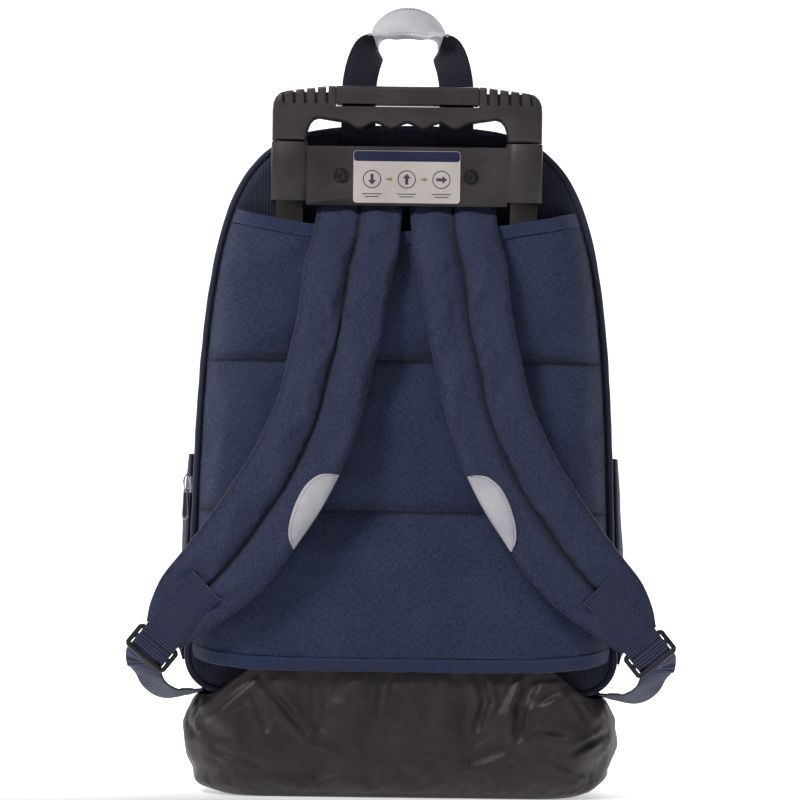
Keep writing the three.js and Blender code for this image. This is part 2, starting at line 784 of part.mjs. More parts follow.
// The webbing patch starts on the strap's face, turns round the first bar and ends behind the strap
function patchRows() {
  const half = webbingThickness / 2;
  const clear = buckleThickness / 2 + gap + half;
  const onStrap = (down) => {
    const place = strapPlace(down, 0.5, 0.5);
    place.y -= gap + half;
    return place;
  };
  const face = buckleThickness / 2;
  const turn = buckleBar + 2 * gap + half;
  const path = [
    onStrap(0.82), onStrap(0.875), onStrap(0.93), onStrap(0.985),
    atBuckle(-gap, clear + 0.6),
    atBuckle(buckleBar * 0.8, clear + gap),
    atBuckle(turn - 0.3, clear - 0.3),
    atBuckle(turn, face),
    atBuckle(turn, -face),
    atBuckle(turn - 0.3, 0.3 - clear),
    atBuckle(buckleBar * 0.8, -clear - gap),
    atBuckle(-gap, -clear - 1),
    atBuckle(-6, -clear - 1.6),
  ];
  return path.map((at) => ({ at, across: barWay }));
}

// The lower webbing comes back through both slots, then drops and turns edge-on into the bag's corner.
// Each row holds shares of the way to that corner, and in degrees how its width leans and turns.
const adjusterRows = [
  { inward: 0, down: 0, back: 0.03, lean: 39, turn: 0 },
  { inward: 0.05, down: 0.24, back: 0.12, lean: 39, turn: -4 },
  { inward: 0.13, down: 0.54, back: 0.28, lean: 24, turn: 18 },
  { inward: 0.26, down: 0.88, back: 0.54, lean: -8, turn: 44 },
  { inward: 0.46, down: 1.1, back: 0.8, lean: -42, turn: 64 },
  { inward: 0.76, down: 1.08, back: 0.97, lean: -70, turn: 78 },
  { inward: 1, down: 1, back: 1, lean: -80, turn: 86 },
];

function adjusterPath() {
  const half = webbingThickness / 2;
  const clear = buckleThickness / 2 + gap + half;
  const face = buckleThickness / 2;
  const slotOne = buckleBar + buckleSlot - 2 * gap - half;
  const slotTwo = 2 * buckleBar + buckleSlot + 2 * gap + half;
  const length = 3 * buckleBar + 2 * buckleSlot;
  const threaded = [
    atBuckle(slotOne - 0.5, -clear - 4),
    atBuckle(slotOne, -face),
    atBuckle(slotOne, face),
    atBuckle(slotOne + 0.4, clear - 0.2),
    atBuckle(slotOne + 1.6, clear + gap),
    atBuckle(slotTwo - 1.6, clear + gap),
    atBuckle(slotTwo - 0.4, clear - 0.2),
    atBuckle(slotTwo, face),
    atBuckle(slotTwo, -0.6),
    atBuckle(slotTwo + 1.4, -clear),
    atBuckle(length - buckleBar, -clear - 1.4),
    atBuckle(length, -clear - 2.6),
  ].map((at) => ({ at, across: barWay }));
  const start = atBuckle(length + 2, -clear - 4.4);
  const seam = THREE.MathUtils.degToRad(adjusterSeamAngle);
  const reach = bagCornerRadius + gap + webbingThickness;
  const end = new THREE.Vector3(
    halfBag - bagCornerRadius + reach * Math.cos(seam),
    bagBackY + webbingWidth * 0.36,
    bagBottomZ + bagCornerRadius - reach * Math.sin(seam));
  const loose = adjusterRows.map((row) => {
    const [lean, turn] = [row.lean, row.turn].map(THREE.MathUtils.degToRad);
    const at = new THREE.Vector3(
      start.x + (end.x - start.x) * row.inward,
      start.y + (end.y - start.y) * row.back,
      start.z + (end.z - start.z) * row.down);
    const across = new THREE.Vector3(
      Math.cos(lean) * Math.cos(turn), Math.sin(turn), Math.sin(lean) * Math.cos(turn));
    return { at, across };
  });
  return [...threaded, ...loose];
}

// A half-moon on the strap's inner edge: down in shares of the strap's rows, reach across the strap
const reflectorRows = [
  { down: 0.537, reach: 0.05 },
  { down: 0.545, reach: 0.2 },
  { down: 0.562, reach: 0.28 },
  { down: 0.58, reach: 0.315 },
  { down: 0.6, reach: 0.31 },
  { down: 0.64, reach: 0.25 },
  { down: 0.6667, reach: 0.155 },
  { down: 0.682, reach: 0.04 },
];

function addReflector(name, side) {
  const shares = [0, 0.3, 0.65, 1];
  const rings = reflectorRows.map((row) => {
    const line = (extra) => shares.map((share) => {
      const across = 0.012 + row.reach * share;
      const point = strapPlace(row.down, across, readTable(strapFront, 'across', across, 'lift'));
      point.y -= 3 * gap + extra;
      return point;
    });
    return [...line(reflectorThickness), ...line(0).reverse()];
  });
  addPiece(name, sheetLoft(rings.map((ring) => sided(ring, side))), 'reflector');
}

function addStrap(label, side) {
  addPiece(`strap_${label}`, loft(strapRings().map((ring) => sided(ring, side))), 'cloth');
  const patch = bandRings(patchRows(), webbingWidth, webbingThickness);
  addPiece(`strap_webbing_${label}`, sheetLoft(patch.map((ring) => sided(ring, side))), 'webbing');
  addBuckle(`buckle_${label}`, side);
  const adjuster = bandRings(adjusterPath(), webbingWidth, webbingThickness);
  addPiece(`adjuster_${label}`, sheetLoft(adjuster.map((ring) => sided(ring, side))), 'webbing');
  addReflector(`reflector_${label}`, side);
}

// The carry handle's right half from its foot to the middle of its arch. The webbing turns as it
// rises, so its outer edge comes down towards the wearer at the top.
const carryRows = [
  { across: 1, up: 0, far: 0, edge: [1, 0, 0] },
  { across: 1, up: 0.3, far: 0, edge: [1, 0, 0] },
  { across: 1, up: 0.45, far: 0.05, edge: [1, 0, 0] },
  { across: 0.97, up: 0.61, far: 0.24, edge: [0.98, -0.1, -0.16] },
  { across: 0.84, up: 0.77, far: 0.56, edge: [0.8, -0.35, -0.5] },
  { across: 0.58, up: 0.9, far: 0.86, edge: [0.45, -0.56, -0.68] },
  { across: 0.3, up: 0.975, far: 0.98, edge: [0.18, -0.63, -0.75] },
  { across: 0, up: 1, far: 1, edge: [0, -0.64, -0.77] },
];

function carryPath() {
  const footY = seatY - carryThickness / 2;
  const place = (row, side) => ({
    at: new THREE.Vector3(
      side * row.across * carrySpread / 2,
      footY + row.far * carryLean,
      carryFootZ + row.up * (carryTopZ - carryFootZ)),
    across: new THREE.Vector3(side * row.edge[0], row.edge[1], row.edge[2]),
  });
  const right = carryRows.map((row) => place(row, 1));
  const left = carryRows.slice(0, -1).reverse().map((row) => place(row, -1));
  return smoothBand([...right, ...left], carrySteps);
}

// A band's rows drawn finer along a smooth curve through them
function smoothBand(rows, steps) {
  const middle = new THREE.CatmullRomCurve3(rows.map((row) => row.at));
  const edge = new THREE.CatmullRomCurve3(rows.map((row) => row.across));
  const finer = [];
  for (let i = 0; i <= steps; i += 1) {
    finer.push({ at: middle.getPoint(i / steps), across: edge.getPoint(i / steps) });
  }
  return finer;
}

function addCarryHandle() {
  const path = carryPath();
  addPiece('carry_webbing', sheetLoft(bandRings(path, carryWidth, carryThickness)), 'webbing');
  const stretch = (ends, width, thickness) => toSolid(
    sheetLoft(bandRings(path, width, thickness).slice(ends, -ends)));
  const room = carryThickness + 2 * wrapGap;
  const hollow = stretch(wrapStart - 1, carryWidth + 2 * wrapGap, room);
  const sleeve = stretch(wrapStart, carryWidth + 2 * wrapMargin, room + 2 * wrapWall);
  addPiece('carry_wrap', toGeometry(sleeve.subtract(hollow)), 'reflector');
}

// The grip from behind: two legs, and a finger wave along the underside of the bar
function gripShape() {
  const half = gripWidth / 2;
  const legIn = half - gripLegWidth;
  const corner = gripCorner;
  const waveZ = gripHeight * 0.29;
  const archZ = gripHeight * 0.42;
  const shape = new THREE.Shape();
  shape.moveTo(-half, 0);
  shape.lineTo(-half, gripHeight - 2 * corner);
  shape.quadraticCurveTo(-half, gripHeight - corner * 0.7, -half + corner, gripHeight - corner * 0.45);
  shape.lineTo(-buttonWidth / 2 - 4, gripHeight);
  shape.lineTo(buttonWidth / 2 + 4, gripHeight);
  shape.lineTo(half - corner, gripHeight - corner * 0.45);
  shape.quadraticCurveTo(half, gripHeight - corner * 0.7, half, gripHeight - 2 * corner);
  shape.lineTo(half, 0);
  shape.lineTo(legIn, 0);
  shape.quadraticCurveTo(legIn - 1, archZ, legIn - corner, archZ);
  const waveEnd = 2 * fingerPitch;
  const steps = 24;
  for (let i = 0; i <= steps; i += 1) {
    const x = waveEnd - (2 * waveEnd * i) / steps;
    shape.lineTo(x, waveZ + fingerWave * Math.cos((2 * Math.PI * x) / fingerPitch));
  }
  shape.lineTo(-legIn + corner, archZ);
  shape.quadraticCurveTo(-legIn + 1, archZ, -legIn, 0);
  return shape;
}

function addGrip() {
  const options = {
    depth: gripDepth - 2 * gripBevel,
    bevelEnabled: true,
    bevelThickness: gripBevel,
    bevelSize: gripBevel,
    bevelOffset: -gripBevel,
    bevelSegments: 2,
    curveSegments: 4,
  };
  const geometry = new THREE.ExtrudeGeometry(gripShape(), options);
  geometry.translate(0, 0, gripBevel);
  geometry.rotateX(Math.PI / 2);
  geometry.translate(0, gripBackY, gripBottomZ);
  let solid = toSolid(geometry);
  const [backY, frontY] = [gripBackY, gripBackY - gripDepth];
  const ribLowZ = gripTopZ - buttonHeight;
  [-1, 1].forEach((side) => {
    for (let i = 0; i < ribCount; i += 1) {
      const x = side * (gripWidth / 2 - 8 - i * ribPitch);
      const cut = toSolid(box(
        [x - ribWidth / 2, frontY - 1, ribLowZ], [x + ribWidth / 2, backY + 1, gripTopZ + 1]));
      const core = toSolid(box(
        [x - ribWidth, frontY + ribCut, ribLowZ - 1], [x + ribWidth, backY - ribCut, gripTopZ - ribCut * 2]));
      solid = solid.subtract(cut.subtract(core));
    }
  });
  const seat = toSolid(box(
    [-buttonWidth / 2 - gap, frontY - 1, gripTopZ - buttonHeight - gap - buttonTravel],
    [buttonWidth / 2 + gap, backY + 1, gripTopZ + 1]));
  addPiece('grip', toGeometry(solid.subtract(seat)), 'moulding');

  const outline = new THREE.Shape();
  const halfDeep = gripDepth / 2;
  outline.moveTo(-halfDeep, 0);
  outline.lineTo(halfDeep, 0);
  outline.lineTo(halfDeep, buttonHeight - gripBevel);
  outline.quadraticCurveTo(halfDeep, buttonHeight, halfDeep - gripBevel, buttonHeight);
  outline.lineTo(gripBevel - halfDeep, buttonHeight);
  outline.quadraticCurveTo(-halfDeep, buttonHeight, -halfDeep, buttonHeight - gripBevel);
  outline.closePath();
  const button = new THREE.ExtrudeGeometry(
    outline, { depth: buttonWidth, bevelEnabled: false, curveSegments: 3 });
  button.translate(0, 0, -buttonWidth / 2);
  button.rotateX(Math.PI / 2);
  button.rotateZ(Math.PI / 2);
  button.translate(0, gripY, gripTopZ - buttonHeight);
  addPiece('release_bar', button, 'moulding');

  const tubeLowZ = bagBottomZ + tubeFootRise;
  [['left', -1], ['right', 1]].forEach(([label, side]) => {
    const x = side * railX;
    addPiece(`tube_${label}`, box(
      [x - tubeWidth / 2, railY - tubeDepth / 2, tubeLowZ],
      [x + tubeWidth / 2, railY + tubeDepth / 2, gripBottomZ - gap]), 'steel');
  });
}

function addBracket() {
  const outerHalf = sleeveWidth / 2;
  const sleeveLowZ = sleeveTopZ - sleeveHeight;
  const profile = new THREE.Shape();
  const shoulder = sleeveFront * 0.62;
  profile.moveTo(-outerHalf, seatY);
  profile.lineTo(-outerHalf, sleeveFrontY + shoulder);
  profile.quadraticCurveTo(-outerHalf, sleeveFrontY, 0, sleeveFrontY);
  profile.quadraticCurveTo(outerHalf, sleeveFrontY, outerHalf, sleeveFrontY + shoulder);
  profile.lineTo(outerHalf, seatY);
  profile.closePath();
  const plateHalf = railX - outerHalf + 1;
  let solid = toSolid(box(
    [-plateHalf, plateFrontY, plateTopZ - plateHeight], [plateHalf, plateBackY, plateTopZ]));
  [-1, 1].forEach((side) => {
    const sleeve = new THREE.ExtrudeGeometry(
      profile, { depth: sleeveHeight, bevelEnabled: false, curveSegments: 5 });
    sleeve.translate(side * railX, 0, sleeveLowZ);
    const shaft = box(
      [side * railX - railWidth / 2 - gap, railFrontY - gap, sleeveLowZ - 1],
      [side * railX + railWidth / 2 + gap, railBackY + gap, railTopZ + gap]);
    const mouth = box(
      [side * railX - tubeWidth / 2 - tubeClearance, railY - tubeDepth / 2 - tubeClearance, railTopZ],
      [side * railX + tubeWidth / 2 + tubeClearance, railY + tubeDepth / 2 + tubeClearance, sleeveTopZ + 1]);
    const screwX = side * screwSpacing / 2;
    const boss = rod('y', bossRadius, plateFrontY + screwRecess, seatY, screwX, plateMiddleZ);
    const recess = rod(
      'y', screwRadius + screwRecess, plateFrontY - 1, plateFrontY + screwRecess, screwX, plateMiddleZ);
    solid = solid.add(toSolid(sleeve)).add(toSolid(boss));
    solid = solid.subtract(toSolid(shaft)).subtract(toSolid(mouth)).subtract(toSolid(recess));
  });
  addPiece('bracket', toGeometry(solid), 'moulding');
  [['left', -1], ['right', 1]].forEach(([label, side]) => {
    addPiece(`screw_${label}`, rod(
      'y', screwRadius, plateFrontY + 0.2, plateFrontY + screwRecess - gap,
      side * screwSpacing / 2, plateMiddleZ), 'moulding');
  });
  const labelHigh = plateTopZ - (plateHeight - labelHeight) * 0.62;
  addPiece('label', box(
    [-labelWidth / 2, plateFrontY - gap - labelThickness, labelHigh - labelHeight],
    [labelWidth / 2, plateFrontY - gap, labelHigh]), 'label');
}

function addRails() {
  [['left', -1], ['right', 1]].forEach(([label, side]) => {
    const shape = new THREE.Shape();
    const hole = new THREE.Path();
    const [w, d] = [railWidth / 2, railDepth / 2];
    shape.moveTo(-w, -d).lineTo(w, -d).lineTo(w, d).lineTo(-w, d).closePath();
    const [hw, hd] = [w - railWall, d - railWall];
    hole.moveTo(-hw, -hd).lineTo(-hw, hd).lineTo(hw, hd).lineTo(hw, -hd).closePath();
    shape.holes.push(hole);
    const lowZ = baseTopZ + gap;
    const rail = new THREE.ExtrudeGeometry(shape, { depth: railTopZ - lowZ, bevelEnabled: false });
    rail.translate(side * railX, railY, lowZ);
    addPiece(`rail_${label}`, rail, 'rail');
  });
}

function addBase() {
  const halfWide = wheelSpacing / 2 + baseMargin;
  const backY = railBackY + 0.7;
  let solid = toSolid(box(
    [-halfWide, backY, baseTopZ - basePlate], [halfWide, coverFrontY - baseFrontInset, baseTopZ]));
  [-1, 1].forEach((side) => {
    const foot = box(
      [side * railX - railWidth / 2, railFrontY + 0.4, baseTopZ - 2 * basePlate],
      [side * railX + railWidth / 2, backY + 2, baseTopZ]);
    solid = solid.add(toSolid(foot));
    [-1, 1].forEach((face) => {
      const inner = side * wheelSpacing / 2 + face * (wheelWidth / 2 + 0.5);
      const outer = inner + face * cheekThickness;
      const cheek = box(
        [Math.min(inner, outer), wheelY - cheekDepth / 2, wheelZ - cheekDrop],
        [Math.max(inner, outer), wheelY + cheekDepth / 2, baseTopZ - 1]);
      solid = solid.add(toSolid(cheek));
    });
    const reach = wheelWidth / 2 + cheekThickness;
    solid = solid.add(toSolid(rod(
      'x', axleRadius, side * wheelSpacing / 2 - reach, side * wheelSpacing / 2 + reach, wheelY, wheelZ)));
    const [postLowZ, postHighZ] = [coverWall + gap, baseTopZ - 1];
    const post = new THREE.CylinderGeometry(postTopRadius, postFootRadius, postHighZ - postLowZ, 14);
    post.rotateX(Math.PI / 2);
    post.translate(side * wheelSpacing * 0.42, coverFrontY - postInset, (postLowZ + postHighZ) / 2);
    solid = solid.add(toSolid(post));
  });
  addPiece('base_frame', toGeometry(solid), 'moulding');

  const half = wheelWidth / 2;
  const bore = axleRadius + axleClearance;
  const profile = [
    [bore, -half], [bore, half], [wheelRadius * 0.3, half], [wheelRadius * 0.36, half * 0.6],
    [wheelRadius * 0.72, half * 0.6], [wheelRadius * 0.78, half * 0.92], [wheelRadius, half * 0.6],
    [wheelRadius, -half * 0.6], [wheelRadius * 0.78, -half * 0.92], [wheelRadius * 0.72, -half * 0.6],
    [wheelRadius * 0.36, -half * 0.6], [wheelRadius * 0.3, -half], [bore, -half],
  ].map(([x, y]) => new THREE.Vector2(x, y));
  [['left', -1], ['right', 1]].forEach(([label, side]) => {
    const wheel = new THREE.LatheGeometry(profile, 20);
    wheel.rotateZ(Math.PI / 2);
    wheel.translate(side * wheelSpacing / 2, wheelY, wheelZ);
    addPiece(`wheel_${label}`, facingOut(toGeometry(toSolid(wheel))), 'tyre');
  });
}

// The cover's girth from the floor up: shares of its height, of half its width and of its depth
const coverRows = [
  { up: 0, wide: 0.84, deep: 0.9 },
  { up: 0.05, wide: 0.9, deep: 0.96 },
  { up: 0.27, wide: 0.96, deep: 1 },
  { up: 0.58, wide: 1, deep: 1 },
  { up: 0.82, wide: 0.985, deep: 1 },
  { up: 1, wide: 0.95, deep: 1 },
];
// Its main folds: where they stand across the back, how deep they are and how far they lean
const coverFolds = [
  { across: -0.8, depth: 1, lean: 0.3, width: 0.12 },
  { across: -0.56, depth: -0.8, lean: 0.35, width: 0.1 },
  { across: -0.34, depth: 0.7, lean: -0.2, width: 0.12 },
  { across: 0.02, depth: 0.4, lean: 0.05, width: 0.14 },
  { across: 0.3, depth: 0.9, lean: -0.05, width: 0.1 },
  { across: 0.5, depth: -0.5, lean: 0.1, width: 0.1 },
  { across: 0.76, depth: 1, lean: -0.15, width: 0.14 },
];

// The cover's outline from above, from the middle of its back round the right side to the front
function coverCurves() {
  const half = coverWidth / 2;
  const radius = coverCornerRadius;
  const corner = (y, from, to) => new THREE.EllipseCurve(
    half - radius, y, radius, radius, from, to, false, 0);
  const line = (x1, y1, x2, y2) => new THREE.LineCurve(new THREE.Vector2(x1, y1), new THREE.Vector2(x2, y2));
  return [
    { curve: line(0, coverBackY, half - radius, coverBackY), steps: 9 },
    { curve: corner(coverBackY + radius, -Math.PI / 2, 0), steps: 4 },
    { curve: line(half, coverBackY + radius, half, coverFrontY - radius), steps: 1 },
    { curve: corner(coverFrontY - radius, 0, Math.PI / 2), steps: 3 },
    { curve: line(half - radius, coverFrontY, 0, coverFrontY), steps: 4 },
  ];
}

function coverPoint(row, plan, wall) {
  const across = plan.x / (coverWidth / 2);
  const middleY = (coverFrontY + coverBackY) / 2;
  const backShare = 1 - 2 * (plan.z - coverBackY) / coverCornerRadius;
  const atBack = Math.max(0, Math.min(backShare, 1));
  const inFlap = Math.max(0, 1 - (Math.abs(across) / 0.8) ** 8);
  const lift = row.up ** 2 * (coverFlapZ - baseTopZ) * atBack * inFlap;
  let push = 0;
  coverFolds.forEach((fold) => {
    const away = (across - fold.across - fold.lean * (row.up - 0.5)) / fold.width;
    push += fold.depth * Math.exp(-(away ** 2));
  });
  const swell = 4 * row.up * (1 - row.up);
  const sag = swell * Math.max(0, coverSag + push * coverFoldDepth) * atBack;
  const inset = 1 - wall / (coverWidth / 2);
  const y = middleY + (plan.z - middleY) * row.deep;
  return new THREE.Vector3(
    plan.x * row.wide * inset,
    y - sag - wall * Math.sign(y - middleY),
    row.up * (baseTopZ - gap) + lift);
}

function addCover() {
  const half = halfOutline(coverCurves(), 0);
  const other = half.slice(1, -1).reverse().map((point) => ({ x: -point.x, z: point.z }));
  const plan = [...half, ...other];
  const ring = (row, wall, lift) => plan.map((at) => {
    const point = coverPoint(row, at, wall);
    point.z += lift;
    return point;
  });
  const outside = coverRows.map((row) => ring(row, 0, 0));
  const inside = coverRows.map((row, i) => ring(row, coverWall, i < 2 ? coverWall : 0)).reverse();
  addPiece('wheel_cover', loft([...outside, ...inside]), 'nylon');
}

// The slider is parked at the left end of the main zip, with its pull hanging down
function addSlider() {
  const z = bagTurn('side').y + sliderRise;
  const x = -halfWidthAt(z) - gap;
  const y = (zipBackY + zipFrontY) / 2;
  addPiece('zip_slider', box(
    [x - sliderDepth, y - sliderWidth / 2, z - sliderHeight / 2],
    [x, y + sliderWidth / 2, z + sliderHeight / 2]), 'steel');
  const half = pullWidth / 2;
  const bendZ = half * 1.25 - pullLength;
  const outline = new THREE.Shape();
  outline.moveTo(-pullNeck / 2, 0);
  outline.lineTo(pullNeck / 2, 0);
  outline.lineTo(half, bendZ);
  outline.quadraticCurveTo(half, -pullLength, 0, -pullLength);
  outline.quadraticCurveTo(-half, -pullLength, -half, bendZ);
  outline.closePath();
  const pull = new THREE.ExtrudeGeometry(
    outline, { depth: pullThickness, bevelEnabled: false, curveSegments: 3 });
  pull.rotateX(Math.PI / 2);
  pull.rotateZ(Math.PI / 2);
  pull.translate(x - sliderDepth - gap - pullThickness, y, z);
  addPiece('zip_pull', pull, 'steel');
}

addBody();
addPiping();
addFrontPocket();
addSidePocket('side_pocket_left', -1);
addSidePocket('side_pocket_right', 1);
addPad();
addStrap('left', -1);
addStrap('right', 1);
addCarryHandle();
addGrip();
addBracket();
addRails();
addBase();
addCover();
addSlider();

export default group;
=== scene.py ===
# %% [markdown]
# # A wheeled school backpack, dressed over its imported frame
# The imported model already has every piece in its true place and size. This lesson gives each piece
# the surface that the real one has: padded cloth with quilt seams, ribbed webbing, creased nylon,
# moulded plastic and metal. Everything is in metres, with the wearer's side towards -Y.

# %% Load the frame
import math
import bmesh
import bpy
import numpy as np
from mathutils import Matrix, Vector
from mathutils.bvhtree import BVHTree


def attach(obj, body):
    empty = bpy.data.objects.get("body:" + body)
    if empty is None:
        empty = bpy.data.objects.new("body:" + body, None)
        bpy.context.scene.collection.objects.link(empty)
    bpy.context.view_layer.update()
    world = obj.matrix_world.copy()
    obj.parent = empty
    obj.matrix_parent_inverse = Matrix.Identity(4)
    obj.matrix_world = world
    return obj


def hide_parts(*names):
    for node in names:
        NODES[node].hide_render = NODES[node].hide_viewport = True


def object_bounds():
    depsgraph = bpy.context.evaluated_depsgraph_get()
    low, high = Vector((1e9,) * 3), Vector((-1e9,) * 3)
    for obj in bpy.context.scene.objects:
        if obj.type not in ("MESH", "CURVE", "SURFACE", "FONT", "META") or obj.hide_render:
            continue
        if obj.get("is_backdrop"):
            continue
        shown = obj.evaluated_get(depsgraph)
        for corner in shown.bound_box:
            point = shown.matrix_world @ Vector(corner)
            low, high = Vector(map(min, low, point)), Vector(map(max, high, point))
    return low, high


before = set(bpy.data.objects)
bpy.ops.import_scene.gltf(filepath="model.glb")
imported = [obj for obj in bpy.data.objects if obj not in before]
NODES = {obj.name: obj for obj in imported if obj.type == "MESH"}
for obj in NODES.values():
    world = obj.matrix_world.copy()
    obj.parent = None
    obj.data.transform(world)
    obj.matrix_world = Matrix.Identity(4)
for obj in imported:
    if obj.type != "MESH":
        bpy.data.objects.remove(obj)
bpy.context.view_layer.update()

# %% [markdown]
# The photograph is a product shot from behind, level with the middle of the bag and from far away,
# so its sides hardly converge. A long lens three metres off gives the same view. The bag hangs a
# fraction of a degree clockwise in the picture, and rolling the camera is how the scene says so.

# %% Camera
MM = 0.001
PHOTO_PIXELS = 800
PIXEL_SIZE = 0.72 * MM
CAMERA_AWAY = 3.0
VIEW_PLANE_Y = -0.095
VIEW_X, VIEW_Z = -0.0029, 0.2876
PHOTO_ROLL = math.radians(0.7)
SENSOR = 36.0


def place_camera():
    camera = bpy.data.cameras.new("camera")
    camera.sensor_width = SENSOR
    camera.lens = SENSOR * CAMERA_AWAY / (PHOTO_PIXELS * PIXEL_SIZE)
    camera.clip_end = 20
    holder = bpy.data.objects.new("camera", camera)
    bpy.context.scene.collection.objects.link(holder)
    spot = Matrix.Translation((VIEW_X, VIEW_PLANE_Y - CAMERA_AWAY, VIEW_Z))
    upright = Matrix.Rotation(math.radians(90), 4, "X")
    holder.matrix_world = spot @ upright @ Matrix.Rotation(PHOTO_ROLL, 4, "Z")
    bpy.context.scene.camera = holder
    print("lens", round(camera.lens, 1), "mm")


place_camera()

# %% [markdown]
# A shader is easier to read as a sum than as a web of boxes. The class below wraps one output of a
# node, so that 1 - mask or wave * 0.5 adds the Math nodes by itself. Colours are blended by a Mix
# node, because a Math node would turn them grey.

# %% Shader maths
class Wire:
    def __init__(self, finish, socket):
        self.finish = finish
        self.socket = socket

    def maths(self, operation, first, second=0.0):
        return self.finish.add("ShaderNodeMath", {"operation": operation}, {0: first, 1: second})

    def __add__(self, other):
        return self.maths("ADD", self, other)

    def __sub__(self, other):
        return self.maths("SUBTRACT", self, other)

    def __rsub__(self, other):
        return self.maths("SUBTRACT", other, self)

    def __mul__(self, other):
        return self.maths("MULTIPLY", self, other)

    def __pow__(self, other):
        return self.maths("POWER", self, other)

    __radd__ = __add__
    __rmul__ = __mul__

    def size(self):
        return self.maths("ABSOLUTE", self)

    def wave(self, length):
        return self.maths("SINE", self * (2 * math.pi / length))

    def above(self, level):
        return self.maths("GREATER_THAN", self, level)

    def stepped(self, low, high):
        settings = {"interpolation_type": "SMOOTHSTEP"}
        return self.finish.add("ShaderNodeMapRange", settings, {0: self, 1: low, 2: high})


# %% [markdown]
# A finish is one material under construction. It starts with a Principled shader and the place on
# the surface, either across and along the cloth, from the mesh's own map in metres, or the place in
# space for pieces that have no map.

# %% A finish under construction
def linear(code):
    """A colour written as on the web, as the linear values that a shader works with"""
    shares = [int(code[i:i + 2], 16) / 255 for i in (1, 3, 5)]
    return tuple(c / 12.92 if c < 0.04045 else ((c + 0.055) / 1.055) ** 2.4 for c in shares) + (1.0,)


class Finish:
    def __init__(self, name, mapped=True):
        self.material = bpy.data.materials.new(name)
        self.material.use_nodes = True
        self.tree = self.material.node_tree
        self.tree.nodes.clear()
        self.skin = self.tree.nodes.new("ShaderNodeBsdfPrincipled")
        end = self.tree.nodes.new("ShaderNodeOutputMaterial")
        self.tree.links.new(self.skin.outputs[0], end.inputs[0])
        self.place = self.add("ShaderNodeTexCoord", output="UV" if mapped else "Object")

    def add(self, kind, settings=None, inputs=None, output=0):
        node = self.tree.nodes.new(kind)
        for key, value in (settings or {}).items():
            setattr(node, key, value)
        for key, value in (inputs or {}).items():
            self.feed(node.inputs[key], value)
        return Wire(self, node.outputs[output])

    def feed(self, socket, value):
        if isinstance(value, Wire):
            self.tree.links.new(value.socket, socket)
        else:
            socket.default_value = value

    def scaled(self, scale):
        settings = {"operation": "MULTIPLY"}
        return self.add("ShaderNodeVectorMath", settings, {0: self.place, 1: scale})

    def noise(self, scale, detail=2.0, roughness=0.5, stretch=(1, 1, 1)):
        inputs = {"Vector": self.scaled(stretch), "Scale": scale, "Detail": detail, "Roughness": roughness}
        return self.add("ShaderNodeTexNoise", None, inputs)

    def cells(self, scale):
        return self.add("ShaderNodeTexVoronoi", None, {"Vector": self.place, "Scale": scale}, "Distance")

    def axes(self):
        parts = self.add("ShaderNodeSeparateXYZ", None, {0: self.place}).socket.node.outputs
        return [Wire(self, socket) for socket in parts]

    def tint(self, factor, first, second):
        return self.add("ShaderNodeMix", {"data_type": "RGBA"}, {0: factor, 6: first, 7: second}, 2)

    def bump(self, height, distance, strength=1.0):
        inputs = {"Height": height, "Distance": distance, "Strength": strength}
        self.feed(self.skin.inputs["Normal"], self.add("ShaderNodeBump", None, inputs))

    def done(self, base, roughness, **constants):
        self.feed(self.skin.inputs["Base Color"], base)
        self.feed(self.skin.inputs["Roughness"], roughness)
        for name, value in constants.items():
            self.skin.inputs[name.replace("_", " ")].default_value = value
        print("finish", self.material.name, len(self.tree.nodes), "nodes")
        return self.material


# %% [markdown]
# The bag's cloth is a dense polyester weave. Its yarns are spun from threads of slightly different
# blues, so close up it is heathered: short light and dark dashes along both yarn directions, with
# rare pale flecks. Two noises stretched along the two directions give the dashes, and a product of
# two waves gives the small over and under of the weave. Painted shade darkens the cloth along its
# seams and near the strap's edges.

# %% Woven cloth
WEAVE_PITCH, TWILL_PITCH, YARN, FLECK_GAP = 0.9 * MM, 1.9 * MM, 0.8 * MM, 2.3 * MM
QUILT_Z = [206.5, 315.0]
STRAP_WIDE = 62


def heathered_cloth(name, dark, light, twill=0.0, seams=()):
    """Each seam whose painted shade darkens the cloth is (axis, place, reach, depth), in mm"""
    finish = Finish(name)
    across, along, _height = finish.axes()
    over = across.wave(WEAVE_PITCH) * along.wave(WEAVE_PITCH)
    dashes = finish.noise(1 / YARN, 2, 0.6, (1, 0.22, 1)) + finish.noise(1 / YARN, 2, 0.6, (0.22, 1, 1))
    shade = finish.noise(22, 3)
    mixed = (dashes * 0.5 - 0.5) * 2.6 + 0.5 + (shade - 0.5) * 0.5
    if twill:
        slant = (across + along).wave(TWILL_PITCH)
        mixed = mixed + slant * twill
        over = over * 0.5 + slant * 0.8
    colour = finish.tint(mixed.stepped(0.1, 0.95), linear(dark), linear(light))
    fleck = finish.cells(1 / FLECK_GAP).stepped(0.14, 0.04) * finish.noise(1 / (5 * MM)).above(0.56)
    colour = finish.tint(fleck * 0.28, colour, linear("#7c86a6"))
    # painted shade: a dark line and a wider soft band along each seam and near the strap's edges, where shade
    # falls
    for axis, place, reach, depth in seams:
        away = ((across if axis == "across" else along) - place * MM).size()
        colour = finish.tint(away.stepped(reach * MM, 0.3 * MM) * depth, colour, linear("#0a0d1a"))
    finish.bump(over * 0.5 + dashes * 0.8, 0.22 * MM, 0.9)
    return finish.done(colour, 0.86 - dashes * 0.06, Sheen_Weight=0.06, Sheen_Roughness=0.5)


